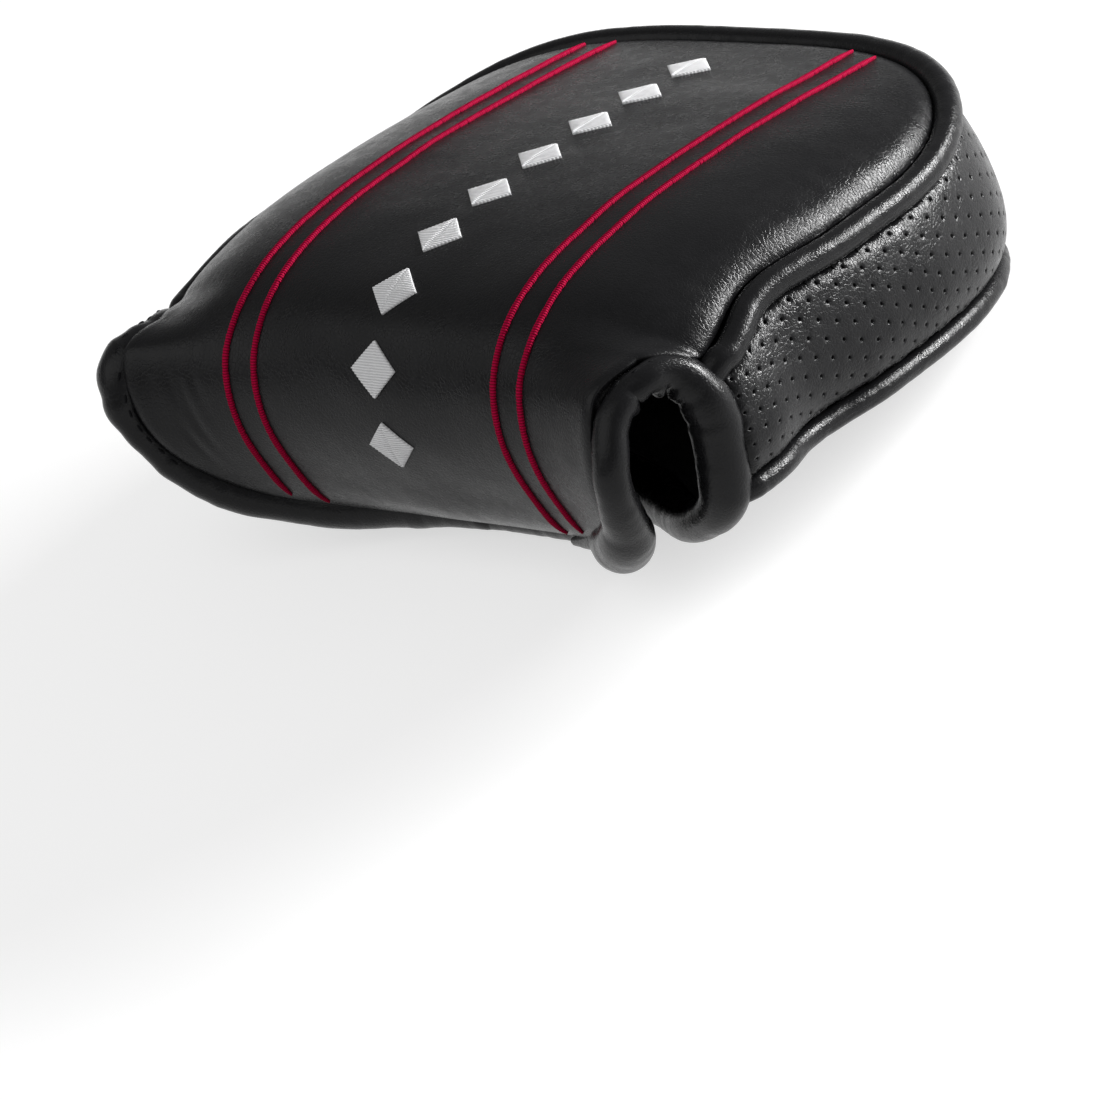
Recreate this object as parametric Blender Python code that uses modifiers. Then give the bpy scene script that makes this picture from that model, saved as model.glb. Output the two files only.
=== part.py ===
"""Mallet putter head cover: a padded bag whose front flap hinges at the brow.

Metres, +Z up. X runs to the toe end and Y to the back. Every piece is laid out in the cover's own
sewing frame, with the top panel level, and the whole cover is then tipped back onto its rest.
"""
import math

import bmesh
import bpy
import numpy as np

# Centre line of the top and front in y and z, from the back edge over the brow and down to the lip
BACK_Y = 0.0783
BACK_Z = -0.0020
CREST_Y = 0.0180
CREST_Z = 0.0010
SHOULDER_Y = -0.0090
SHOULDER_Z = -0.0018
HINGE_Y = -0.0225
HINGE_Z = -0.0083
BROW_Y = -0.0263
BROW_Z = -0.0149
NOSE_Y = -0.0267
NOSE_Z = -0.0256
CHIN_Y = -0.0229
CHIN_Z = -0.0355
JAW_Y = -0.0195
JAW_Z = -0.0414
LIP_Y = -0.0098
LIP_Z = -0.0484

# Plan outline of the top panel, measured at the upper piping
HALF_WIDTH = 0.0568
SIDE_Y = 0.0300
CORNER_POWER = 2.9
WAIST = 0.0013
ARCH_HALF_WIDTH = 0.0488
ARCH_BACK_Y = -0.0125

# Drop of the skin from the centre line to the full half width, and how sharply it comes
BACK_EDGE_DROP = 0.0092
CREST_EDGE_DROP = 0.0099
SHOULDER_EDGE_DROP = 0.0128
ARCH_EDGE_DROP = 0.0112
HINGE_EDGE_DROP = 0.0029
BROW_EDGE_DROP = -0.0110
NOSE_EDGE_DROP = -0.0100
CHIN_EDGE_DROP = -0.0115
LIP_EDGE_DROP = -0.0045
TOP_CROWN_POWER = 5.0
FRONT_CROWN_POWER = 3.4

# Front flap: a tongue with a rounded lower end
TONGUE_LENGTH = 0.0440
TONGUE_POWER = 2.4
FRONT_LEG_SHARE = 0.22

# Side wall and bottom
WALL_FRONT_Y = -0.0102
LOWER_Z = -0.0357
SIDE_FLARE = 0.0010
BACK_FLARE = 0.0050
WALL_BULGE = 0.0040
BULGE_HEIGHT = 0.40

# Rolled cuff round the mouth
CUFF_RADIUS = 0.0040
ARCH_RADIUS = 0.0026
ARCH_SINK = 0.0022
SIDE_SINK = 0.0024
LIP_SINK = 0.0014
CUFF_OPENING = math.radians(40.0)
LEG_TOP_DROP = 0.0065
LEG_INSET = 0.0012
LEG_TAPER = 0.0014
NUB_X = 0.0465
NUB_Y = -0.0120
NUB_DROP = 0.0072
BOW_SHARE = 0.75
MOUTH_WIDTH = 0.0095
REAR_LIP_DROP = 0.0112
FLOOR_CUT = 0.0005

# Cloth stack, from the outside in, and the space kept between separate pieces
LEATHER = 0.0010
FOAM = 0.0026
LINING = 0.0008
GAP = 0.0003
PIPING_RADIUS = 0.0017
PIPING_SINK = 0.0010

# Edge of each panel without foam and lining, as shares of the panel across and along
TOP_MARGIN = 0.012, 0.020
FRONT_MARGIN = 0.010, 0.030
WALL_MARGIN = 0.004, 0.130
BOTTOM_MARGIN = 0.040, 0.040
ARCH_MARGIN = 0.045
ARCH_SHARE = 0.30

# Closing magnets in the lips
MAGNET_X = 0.0190
MAGNET_LENGTH = 0.0120
MAGNET_RADIUS = 0.0020

# Embroidery
STRIPE_INNER_X = 0.0250
STRIPE_OUTER_X = 0.0306
STRIPE_WIDTH = 0.0012
THREAD = 0.0005
STRIPE_MARGIN = 0.0030
DIAMOND_LENGTH = 0.0090
DIAMOND_WIDTH = 0.0090
DIAMOND_PITCH = 0.0130
DIAMONDS_ON_TOP = 7
DIAMONDS_ON_FLAP = 2

# Share of each panel's right-hand edge, from the front, where its grid's corner sits
TOP_CORNER = 0.66
FRONT_CORNER = 0.55
BOTTOM_CORNER = 0.60

# Cells of each grid across and along, and points along each curve
SAMPLES = 1500
TOP_GRID = 10, 12
FRONT_GRID = 10, 10
WALL_GRID = 34, 3
BOTTOM_GRID = 10, 8
CUFF_GRID = 36, 8
TOP_STRIPE_ROWS = 18
FRONT_STRIPE_ROWS = 12
DIAMOND_CELLS = 3
PIPING_STATIONS = 40
FRONT_CUFF_KNOTS = 8
LIP_KNOTS = 7
PIPING_BEVEL = 2
CORE_BEVEL = 1
MAGNET_BEVEL = 4


def natural_spline(points):
    """Closely spaced points on the natural cubic spline through the given points."""
    points = np.asarray(points, float)
    spans = np.linalg.norm(np.diff(points, axis=0), axis=1)
    knots = np.concatenate([[0.0], np.cumsum(spans)])
    count = len(points)
    matrix = np.eye(count)
    right = np.zeros_like(points)
    slopes = np.diff(points, axis=0) / spans[:, None]
    for i in range(1, count - 1):
        matrix[i, i - 1:i + 2] = spans[i - 1], 2 * (spans[i - 1] + spans[i]), spans[i]
        right[i] = 6 * (slopes[i] - slopes[i - 1])
    bend = np.linalg.solve(matrix, right)
    at = np.linspace(0, knots[-1], SAMPLES)
    k = np.clip(np.searchsorted(knots, at, side="right") - 1, 0, count - 2)
    span = spans[k][:, None]
    ahead = (knots[k + 1] - at)[:, None]
    behind = (at - knots[k])[:, None]
    curved = (bend[k] * ahead ** 3 + bend[k + 1] * behind ** 3) / (6 * span)
    first = (points[k] / span - bend[k] * span / 6) * ahead
    last = (points[k + 1] / span - bend[k + 1] * span / 6) * behind
    return curved + first + last


def lengths(path):
    """Distance of each point of a path from its start."""
    return np.concatenate([[0.0], np.cumsum(np.linalg.norm(np.diff(path, axis=0), axis=1))])


def along(path, share):
    """Points at the given shares, 0 to 1, of a path's length."""
    run = lengths(path)
    at = np.asarray(share) * run[-1]
    return np.stack([np.interp(at, run, path[:, i]) for i in range(path.shape[1])], -1)


def unit(vectors):
    return vectors / np.linalg.norm(vectors, axis=-1, keepdims=True)


def smooth(share):
    """Ease from 0 to 1."""
    share = np.clip(share, 0, 1)
    return share * share * (3 - 2 * share)


def eased(at, knots, values):
    """Values at the knots with a smooth step from each to the next."""
    knots = np.asarray(knots)
    values = np.asarray(values)
    k = np.clip(np.searchsorted(knots, at, side="right") - 1, 0, len(knots) - 2)
    return values[k] + (values[k + 1] - values[k]) * smooth((at - knots[k]) / (knots[k + 1] - knots[k]))


def mirrored(path):
    """Left-hand copy of a path of points, or of pairs of points with a radius."""
    other = np.array(path)
    other[:, :6:3] *= -1
    return other


def both_sides(path):
    """A right-hand path that ends at the centre plane, continued on the left."""
    return np.concatenate([path, mirrored(path)[-2::-1]])


# Centre line: its run is the arc length from the hinge, positive down the front
CENTRE_POINTS = np.array([
    (BACK_Y, BACK_Z), (CREST_Y, CREST_Z), (SHOULDER_Y, SHOULDER_Z), (HINGE_Y, HINGE_Z),
    (BROW_Y, BROW_Z), (NOSE_Y, NOSE_Z), (CHIN_Y, CHIN_Z), (JAW_Y, JAW_Z), (LIP_Y, LIP_Z)])
CENTRE = natural_spline(CENTRE_POINTS)
CENTRE = np.concatenate([CENTRE, CENTRE[-1:] + unit(CENTRE[-1:] - CENTRE[-2:-1]) * TONGUE_LENGTH])
TANGENT = unit(np.gradient(CENTRE, axis=0))
NEAREST = [int(np.argmin(np.linalg.norm(CENTRE - point, axis=1))) for point in CENTRE_POINTS]
RUN = lengths(CENTRE) - lengths(CENTRE)[NEAREST[3]]
BACK_RUN, CREST_RUN, SHOULDER_RUN, HINGE_RUN, BROW_RUN, NOSE_RUN, CHIN_RUN, JAW_RUN, LIP_RUN = RUN[NEAREST]
ARCH_RUN = SHOULDER_RUN / 2
DROP_KNOTS = (BACK_RUN, CREST_RUN, SHOULDER_RUN, ARCH_RUN, HINGE_RUN, BROW_RUN, NOSE_RUN, CHIN_RUN, LIP_RUN)
DROPS = (BACK_EDGE_DROP, CREST_EDGE_DROP, SHOULDER_EDGE_DROP, ARCH_EDGE_DROP, HINGE_EDGE_DROP,
         BROW_EDGE_DROP, NOSE_EDGE_DROP, CHIN_EDGE_DROP, LIP_EDGE_DROP)


def surface(x, run):
    """Outer skin at x across and run along the centre line."""
    y = np.interp(run, RUN, CENTRE[:, 0])
    z = np.interp(run, RUN, CENTRE[:, 1])
    tangent_y = np.interp(run, RUN, TANGENT[:, 0])
    tangent_z = np.interp(run, RUN, TANGENT[:, 1])
    power = eased(run, (SHOULDER_RUN, BROW_RUN), (TOP_CROWN_POWER, FRONT_CROWN_POWER))
    drop = eased(run, DROP_KNOTS, DROPS) * np.abs(x / HALF_WIDTH) ** power
    return np.stack([x, y - tangent_z * drop, z + tangent_y * drop], -1)


def skin(x, run, depth=0.0):
    """Points at a depth below the outer skin, square to it."""
    step = GAP
    across = surface(x + step, run) - surface(x - step, run)
    back = surface(x, run - step) - surface(x, run + step)
    return surface(x, run) - unit(np.cross(across, back)) * depth


def skin_point(x, run, depth=0.0):
    return skin(np.array([x]), np.array([run]), depth)[0]


def run_of_y(y):
    """Run of a place on the top, found from its y."""
    top = RUN <= 0
    return np.interp(-y, -CENTRE[top, 0], RUN[top])


def plan_normals(path):
    """Unit normals in plan, to the right of a path that runs from front to back on the right side."""
    tangent = unit(np.gradient(path[:, :2], axis=0))
    return np.stack([tangent[:, 1], -tangent[:, 0]], -1)


def outline(inset=0.0):
    """Right half of the top panel's edge in plan, from the hinge line to the middle of the back.

    The inset makes room for the piping, so it fades out along the arch, where there is none.
    """
    y = np.linspace(HINGE_Y, SIDE_Y, SAMPLES)
    pinch = np.clip((SIDE_Y - y) / (SIDE_Y - ARCH_BACK_Y), 0, 1)
    taper = np.clip((ARCH_BACK_Y - y) / (ARCH_BACK_Y - HINGE_Y), 0, 1)
    side = HALF_WIDTH - WAIST * np.sin(math.pi * pinch) ** 2
    side -= (HALF_WIDTH - ARCH_HALF_WIDTH) * taper ** 2
    angle = np.linspace(0, math.pi / 2, SAMPLES)[1:]
    corner_x = HALF_WIDTH * np.cos(angle).clip(0) ** (2 / CORNER_POWER)
    corner_y = SIDE_Y + (BACK_Y - SIDE_Y) * np.sin(angle) ** (2 / CORNER_POWER)
    path = np.concatenate([np.stack([side, y], -1), np.stack([corner_x, corner_y], -1)])
    path = along(path, np.linspace(0, 1, SAMPLES))
    share = smooth((path[:, 1] - HINGE_Y) / (ARCH_BACK_Y - HINGE_Y))
    path -= plan_normals(path) * (inset * share)[:, None]
    path[-1, 0] = 0.0
    return path


def tongue(outset=0.0):
    """Right half of the front panel's edge in x and run, from the hinge line to the middle of the lip."""
    angle = np.linspace(0, math.pi / 2, SAMPLES)
    x = ARCH_HALF_WIDTH * np.cos(angle).clip(0) ** (2 / TONGUE_POWER)
    run = TONGUE_LENGTH * np.sin(angle) ** (2 / TONGUE_POWER)
    path = along(np.stack([x, run], -1), np.linspace(0, 1, SAMPLES))
    path += plan_normals(path) * outset
    path[-1, 0] = 0.0
    return path


def coons(u, v, south, east, north):
    """Points of the patch between its south, east and north edges; the west edge mirrors the east one."""
    west = east * ([-1.0] + [1.0] * (east.shape[1] - 1))
    ruled = (1 - v)[:, None] * along(south, u) + v[:, None] * along(north, u)
    sides = (1 - u)[:, None] * along(west, v) + u[:, None] * along(east, v)
    low = (1 - u)[:, None] * south[0] + u[:, None] * south[-1]
    high = (1 - u)[:, None] * north[0] + u[:, None] * north[-1]
    return ruled + sides - (1 - v)[:, None] * low - v[:, None] * high


def at_corner(path, share):
    """A right-hand path cut at a share of its length: the side, and the end with its mirror image."""
    path = along(path, np.linspace(0, 1, SAMPLES))
    cut = int(share * SAMPLES)
    return path[:cut + 1], both_sides(path[cut:])[::-1]


for old in list(bpy.data.objects):
    bpy.data.objects.remove(old, do_unlink=True)

# Depth of each cloth's outer face, and the hinge just clear of the thread on the skin
FOAM_DEPTH = LEATHER + GAP
LINING_DEPTH = FOAM_DEPTH + FOAM + GAP
SEAM_INSET = PIPING_RADIUS + GAP
HINGE = skin_point(0.0, 0.0, -(GAP + THREAD + GAP))

parts = bpy.data.collections.new("putter_head_cover")
bpy.context.scene.collection.children.link(parts)
cover = bpy.data.objects.new("cover_rest", None)
parts.objects.link(cover)
flap_hinge = bpy.data.objects.new("flap_hinge", None)
flap_hinge.location = HINGE
flap_hinge.parent = cover
parts.objects.link(flap_hinge)


def finish(name, colour, roughness, metallic=0.0):
    material = bpy.data.materials.new(name)
    material.use_nodes = True
    shader = material.node_tree.nodes["Principled BSDF"]
    shader.inputs["Base Color"].default_value = (*colour, 1.0)
    shader.inputs["Roughness"].default_value = roughness
    shader.inputs["Metallic"].default_value = metallic
    return material


LEATHER_BLACK = finish("black_leather", (0.012, 0.012, 0.013), 0.45)
PERFORATED = finish("perforated_leather", (0.014, 0.014, 0.015), 0.42)
PIPING_BLACK = finish("piping_leather", (0.012, 0.012, 0.013), 0.38)
FOAM_GREY = finish("grey_foam", (0.25, 0.25, 0.26), 0.95)
FLEECE = finish("dark_fleece", (0.03, 0.03, 0.032), 0.95)
RED_THREAD = finish("red_thread", (0.58, 0.002, 0.05), 0.45)
WHITE_THREAD = finish("white_thread", (0.75, 0.75, 0.76), 0.50)
NICKEL = finish("nickel_plate", (0.60, 0.59, 0.57), 0.30, 1.0)


def place(name, data, material, on_flap):
    """New object of the cover, hung on the flap's hinge or on the cover itself."""
    data.materials.append(material)
    piece = bpy.data.objects.new(name, data)
    parts.objects.link(piece)
    piece.parent = flap_hinge if on_flap else cover
    return piece


def laid(points, on_flap):
    """Sewing-frame points as seen from the parent of a piece."""
    return points - HINGE if on_flap else points


def shell(name, patch, columns, rows, depth, thickness, material, on_flap=False):
    """Sheet of one cloth: a grid laid on the cover's outer face, thickened inwards from a depth."""
    bm = bmesh.new()
    bmesh.ops.create_grid(bm, x_segments=columns, y_segments=rows, size=1.0)
    share = np.array([vert.co[:2] for vert in bm.verts]).clip(-1, 1) / 2 + 0.5
    for vert, point in zip(bm.verts, laid(patch(share[:, 0], share[:, 1]), on_flap)):
        vert.co = point
    mesh = bpy.data.meshes.new(name)
    bm.to_mesh(mesh)
    bm.free()
    mesh.shade_smooth()
    piece = place(name, mesh, material, on_flap)
    solid = piece.modifiers.new("Thickness", "SOLIDIFY")
    solid.thickness = thickness
    solid.offset = -1.0 - 2.0 * depth / thickness
    solid.use_even_offset = True
    return piece


def tube(name, points, radius, bevel, material, on_flap=False):
    """Round roll through points, of one radius or one for each."""
    radius = np.broadcast_to(radius, len(points))
    curve = bpy.data.curves.new(name, "CURVE")
    curve.dimensions = "3D"
    curve.bevel_depth = radius.max()
    curve.bevel_resolution = bevel
    curve.use_fill_caps = True
    spline = curve.splines.new("POLY")
    spline.points.add(len(points) - 1)
    for point, centre, share in zip(spline.points, laid(points, on_flap), radius / radius.max()):
        point.co = (*centre, 1.0)
        point.radius = share
    return place(name, curve, material, on_flap)


# Top panel and front panel
def top_patch():
    """Top panel's face between the hinge line, the sides and the back."""
    edge = outline(SEAM_INSET)
    edge = np.stack([edge[:, 0], np.minimum(run_of_y(edge[:, 1]), -GAP / 2)], -1)
    side, back = at_corner(edge, TOP_CORNER)
    hinge_line = np.array([side[0] * (-1, 1), side[0]])

    def points(u, v):
        flat = coons(u, v, hinge_line, side, back)
        return skin(flat[:, 0], flat[:, 1])
    return points


def front_patch():
    """Front panel's face between the lip and the hinge line."""
    edge = tongue()
    edge[:, 1] = np.maximum(edge[:, 1], GAP / 2)
    side, lip = at_corner(edge, FRONT_CORNER)
    hinge_line = np.array([side[0] * (-1, 1), side[0]])

    def points(u, v):
        flat = coons(u, v, lip, side[::-1], hinge_line)
        return skin(flat[:, 0], flat[:, 1])
    return points


def lines(share, cells, margin):
    """Shares of a panel at its grid's lines, with the outermost cells narrowed to the margin."""
    cell = 1 / (cells + 2)
    inner = margin + (share - cell) / (1 - 2 * cell) * (1 - 2 * margin)
    return np.where(share < cell / 2, 0.0, np.where(share > 1 - cell / 2, 1.0, inner))


def stack(panel, patch, grid, margin, leather, on_flap=False, arch_margin=0.0):
    """Leather, foam and lining of one panel; the leather has a narrow cell more along each edge."""
    columns, rows = grid
    across, along_it = margin

    def side(v):
        return across + arch_margin * (1 - smooth(v / ARCH_SHARE))

    def outer(u, v):
        v = lines(v, rows, along_it)
        return patch(lines(u, columns, side(v)), v)

    def inner(u, v):
        v = along_it + v * (1 - 2 * along_it)
        return patch(side(v) + u * (1 - 2 * side(v)), v)

    shell(f"{panel}_panel", outer, columns + 2, rows + 2, 0.0, LEATHER, leather, on_flap)
    shell(f"{panel}_foam", inner, columns, rows, FOAM_DEPTH, FOAM, FOAM_GREY, on_flap)
    shell(f"{panel}_lining", inner, columns, rows, LINING_DEPTH, LINING, FLEECE, on_flap)


stack("top", top_patch(), TOP_GRID, TOP_MARGIN, LEATHER_BLACK, False, ARCH_MARGIN)
stack("front", front_patch(), FRONT_GRID, FRONT_MARGIN, LEATHER_BLACK, True)

# Upper and lower edges of the side wall, from the toe end's front round the back to the heel end's front
edge_plan = outline()
piped_edge = skin(edge_plan[:, 0], run_of_y(edge_plan[:, 1]), PIPING_SINK)
UPPER_EDGE = both_sides(piped_edge[piped_edge[:, 1] >= WALL_FRONT_Y])
WALL_NORMAL = np.column_stack([plan_normals(UPPER_EDGE), np.zeros(len(UPPER_EDGE))])
FLARE = SIDE_FLARE + (BACK_FLARE - SIDE_FLARE) * WALL_NORMAL[:, 1] ** 2
LOWER_EDGE = UPPER_EDGE + WALL_NORMAL * FLARE[:, None]
LOWER_EDGE[:, 2] = LOWER_Z


def wall_patch(u, v):
    """Side wall's face, clear of the piping on its upper and lower edges."""
    top = along(UPPER_EDGE, u)
    low = along(LOWER_EDGE, u)
    out = unit(along(WALL_NORMAL, u))
    height = np.linalg.norm(top - low, axis=1)
    rise = (SEAM_INSET + v * (height - 2 * SEAM_INSET)) / height
    swell = np.where(rise < BULGE_HEIGHT, rise / BULGE_HEIGHT, (1 - rise) / (1 - BULGE_HEIGHT))
    bulge = WALL_BULGE * np.sin(swell * math.pi / 2)
    return low + (top - low) * rise[:, None] + out * bulge[:, None]


stack("side", wall_patch, WALL_GRID, WALL_MARGIN, PERFORATED)
stations = np.linspace(0, 1, PIPING_STATIONS)
tube("upper_piping", along(UPPER_EDGE, stations), PIPING_RADIUS, PIPING_BEVEL, PIPING_BLACK)
tube("lower_piping", along(LOWER_EDGE, stations), PIPING_RADIUS, PIPING_BEVEL, PIPING_BLACK)

# Loop of the cuff: x, y and z of its centre and of the seam that it is sewn to, and its radius
def cuff_line(outset):
    """Right half of a line outside the front panel's edge, at the depth of the cuff."""
    edge = tongue(outset)
    sink = eased(edge[:, 1], (NOSE_RUN, JAW_RUN), (SIDE_SINK, LIP_SINK))
    return skin(edge[:, 0], edge[:, 1], sink[:, None])


front_half = np.hstack([cuff_line(CUFF_RADIUS + GAP), cuff_line(GAP)])
REAR_LIP_Y = front_half[-1, 1] + 2 * CUFF_RADIUS + MOUTH_WIDTH
lip_z = LOWER_Z - REAR_LIP_DROP

# Plane that the cover rests on, through the rear lip and the back of the lower piping
FLOOR_Z = lip_z - CUFF_RADIUS + FLOOR_CUT
FLOOR_SLOPE = (LOWER_Z - PIPING_RADIUS - FLOOR_Z) / (LOWER_EDGE[:, 1].max() - REAR_LIP_Y)

arch_edge = skin_point(ARCH_HALF_WIDTH, 0.0)
ARCH_TOP = arch_edge + (ARCH_RADIUS + GAP, 0.0, -ARCH_SINK)
leg_x = HALF_WIDTH - LEG_INSET
leg_y = WALL_FRONT_Y - CUFF_RADIUS - GAP
leg_top_z = UPPER_EDGE[0, 2] - LEG_TOP_DROP
bow_y = NUB_Y + (REAR_LIP_Y - NUB_Y) * BOW_SHARE
bow_z = lip_z + (bow_y - REAR_LIP_Y) * FLOOR_SLOPE
rear_half = np.array([
    (leg_x, leg_y, leg_top_z), (leg_x, leg_y, (leg_top_z + LOWER_Z) / 2),
    (leg_x - LEG_TAPER, leg_y, LOWER_Z), (NUB_X, NUB_Y, LOWER_Z - NUB_DROP),
    (NUB_X / 2, bow_y, bow_z), (0.0, REAR_LIP_Y, lip_z)])
rear_half = np.hstack([rear_half, rear_half + (0.0, CUFF_RADIUS, 0.0)])
front_half = along(front_half, np.linspace(1.0, FRONT_LEG_SHARE, FRONT_CUFF_KNOTS))
knots = np.vstack([front_half, np.concatenate([ARCH_TOP, arch_edge]), rear_half])
radii = np.full(len(knots), CUFF_RADIUS)
radii[FRONT_CUFF_KNOTS] = ARCH_RADIUS
knots = np.column_stack([knots, radii])
loop = natural_spline(np.vstack([mirrored(knots[2:0:-1]), knots, mirrored(knots[-2:-4:-1])]))
loop = loop[loop[:, 0] >= 0]
loop[[0, -1], :6:3] = 0.0
from_arch = np.linalg.norm(loop[:, :3] - ARCH_TOP, axis=1)
split = int(np.argmin(from_arch))
FRONT_CUFF = both_sides(loop[:split][from_arch[:split] >= GAP / 2][::-1])
REAR_CUFF = both_sides(loop[split:][from_arch[split:] >= GAP / 2])


def cuff_patch(path):
    """Leather rolled round a cuff's core, open towards the seam and cut level where it meets the floor."""
    def points(u, v):
        step = 1 / SAMPLES
        at = along(path, u)
        middle = at[:, :3]
        radius = at[:, 6:]
        ahead = along(path, np.clip(u + step, 0, 1))[:, :3]
        forward = unit(ahead - along(path, np.clip(u - step, 0, 1))[:, :3])
        inward = at[:, 3:6] - middle
        inward = unit(inward - forward * (inward * forward).sum(1, keepdims=True))
        angle = (CUFF_OPENING + v * 2 * (math.pi - CUFF_OPENING))[:, None]
        ring = middle + radius * (inward * np.cos(angle) + np.cross(inward, forward) * np.sin(angle))
        floor = FLOOR_Z + (ring[:, 1] - REAR_LIP_Y) * FLOOR_SLOPE
        ring[:, 2] = np.maximum(ring[:, 2], floor)
        return ring
    return points


def share_at(path, x):
    """Share of a cuff's path where its lip crosses x."""
    lip = np.abs(path[:, 0]) <= NUB_X
    return float(np.interp(-x, -path[lip, 0], (lengths(path) / lengths(path)[-1])[lip]))


def stretch(path, start, end):
    """Ring centres of a cuff between two shares of its path, with both ends."""
    rings = np.linspace(0, 1, CUFF_GRID[0] + 1)
    rings = rings[(rings > start) & (rings < end)]
    return along(path, np.concatenate([[start], rings, [end]]))


def cuff(end, path, on_flap):
    """Cuff cover, its foam cores and the two magnets between them."""
    shell(f"{end}_cuff", cuff_patch(path), *CUFF_GRID, 0.0, LEATHER, LEATHER_BLACK, on_flap)
    core_skin = LEATHER + FLOOR_CUT + GAP
    reach = MAGNET_LENGTH / 2
    clear = reach + GAP
    toe_core = stretch(path, 0.0, share_at(path, MAGNET_X + clear))
    middle_core = stretch(path, share_at(path, MAGNET_X - clear), share_at(path, clear - MAGNET_X))
    heel_core = stretch(path, share_at(path, -MAGNET_X - clear), 1.0)
    for side, core in (("toe", toe_core), ("middle", middle_core), ("heel", heel_core)):
        tube(f"{end}_cuff_foam_{side}", core[:, :3], core[:, 6] - core_skin, CORE_BEVEL, FOAM_GREY, on_flap)
    for side, x in (("toe", MAGNET_X), ("heel", -MAGNET_X)):
        ends = np.array([share_at(path, x + reach), share_at(path, x - reach)])
        tube(f"{end}_magnet_{side}", along(path, ends)[:, :3], MAGNET_RADIUS, MAGNET_BEVEL, NICKEL, on_flap)


cuff("front", FRONT_CUFF, True)
cuff("rear", REAR_CUFF, False)


# Bottom panel
def bottom_patch():
    """Bottom panel's face between the rear lip, the sides and the back."""
    middle = len(LOWER_EDGE) // 2
    edge = LOWER_EDGE[:middle + 1] - WALL_NORMAL[:middle + 1] * SEAM_INSET
    edge[-1, 0] = 0.0
    side, back = at_corner(edge, BOTTOM_CORNER)
    lip = REAR_CUFF[np.abs(REAR_CUFF[:, 3]) <= NUB_X, 3:6] + (0.0, GAP, 0.0)
    corner = side[0]
    lip = along(lip, np.linspace(0, 1, LIP_KNOTS))
    lip = natural_spline(np.concatenate([[corner], lip, [corner * (-1, 1, 1)]]))

    def points(u, v):
        return coons(u, v, back, side[::-1], lip[::-1])
    return points


stack("bottom", bottom_patch(), BOTTOM_GRID, BOTTOM_MARGIN, LEATHER_BLACK)


# Embroidery, raised on the skin
def stripe(name, x, start, end, rows, on_flap):
    """Satin-stitched stripe at x between two runs."""
    def points(u, v):
        return skin(x + (u - 0.5) * STRIPE_WIDTH, end + v * (start - end), -(GAP + THREAD))
    shell(name, points, 1, rows, 0.0, THREAD, RED_THREAD, on_flap)


def diamond(name, run, on_flap):
    """Satin-stitched diamond on the centre line."""
    def points(u, v):
        return skin((u - v) * DIAMOND_WIDTH / 2, run + (1 - u - v) * DIAMOND_LENGTH / 2, -(GAP + THREAD))
    shell(name, points, DIAMOND_CELLS, DIAMOND_CELLS, 0.0, THREAD, WHITE_THREAD, on_flap)


top_edge = outline(SEAM_INSET)[SAMPLES // 2:][::-1]
front_edge = tongue()[::-1]
for row, x in (("inner", STRIPE_INNER_X), ("outer", STRIPE_OUTER_X)):
    back_end = run_of_y(np.interp(x, top_edge[:, 0], top_edge[:, 1]) - STRIPE_MARGIN)
    front_end = np.interp(x, front_edge[:, 0], front_edge[:, 1]) - STRIPE_MARGIN
    for side, sign in (("toe", 1), ("heel", -1)):
        stripe(f"top_stripe_{side}_{row}", sign * x, back_end, -GAP / 2, TOP_STRIPE_ROWS, False)
        stripe(f"front_stripe_{side}_{row}", sign * x, GAP / 2, front_end, FRONT_STRIPE_ROWS, True)
for i in range(DIAMONDS_ON_TOP):
    diamond(f"top_diamond_{i + 1}", -(i + 0.5) * DIAMOND_PITCH, False)
for i in range(DIAMONDS_ON_FLAP):
    diamond(f"front_diamond_{i + 1}", (i + 0.5) * DIAMOND_PITCH, True)


def rest():
    """Tip the cover until its rest plane is level, with the middle of its box's bottom at the origin."""
    cover.rotation_euler.x = -math.atan(FLOOR_SLOPE)
    bpy.context.view_layer.update()
    graph = bpy.context.evaluated_depsgraph_get()
    corners = []
    for piece in parts.objects:
        if piece.type == "EMPTY":
            continue
        solid = piece.evaluated_get(graph)
        mesh = solid.to_mesh()
        flat = np.empty(3 * len(mesh.vertices))
        mesh.vertices.foreach_get("co", flat)
        turn = np.array(piece.matrix_world)
        world = flat.reshape(-1, 3) @ turn[:3, :3].T + turn[:3, 3]
        corners += [world.min(0), world.max(0)]
        solid.to_mesh_clear()
    low = np.min(corners, axis=0)
    high = np.max(corners, axis=0)
    cover.location = (-(low[0] + high[0]) / 2, -(low[1] + high[1]) / 2, -low[2])
    bpy.context.view_layer.update()


rest()
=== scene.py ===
"""Looks of the padded putter head cover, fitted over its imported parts.

Every piece is laid out in the cover's sewing frame, with the top panel level, and then tipped onto its rest.
Lengths are in metres, except in the tables that from_table reads, which are in millimetres.
"""

from math import atan, copysign, cos, pi, radians, sin

import bmesh
import bpy
import numpy as np
from mathutils import Matrix

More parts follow.
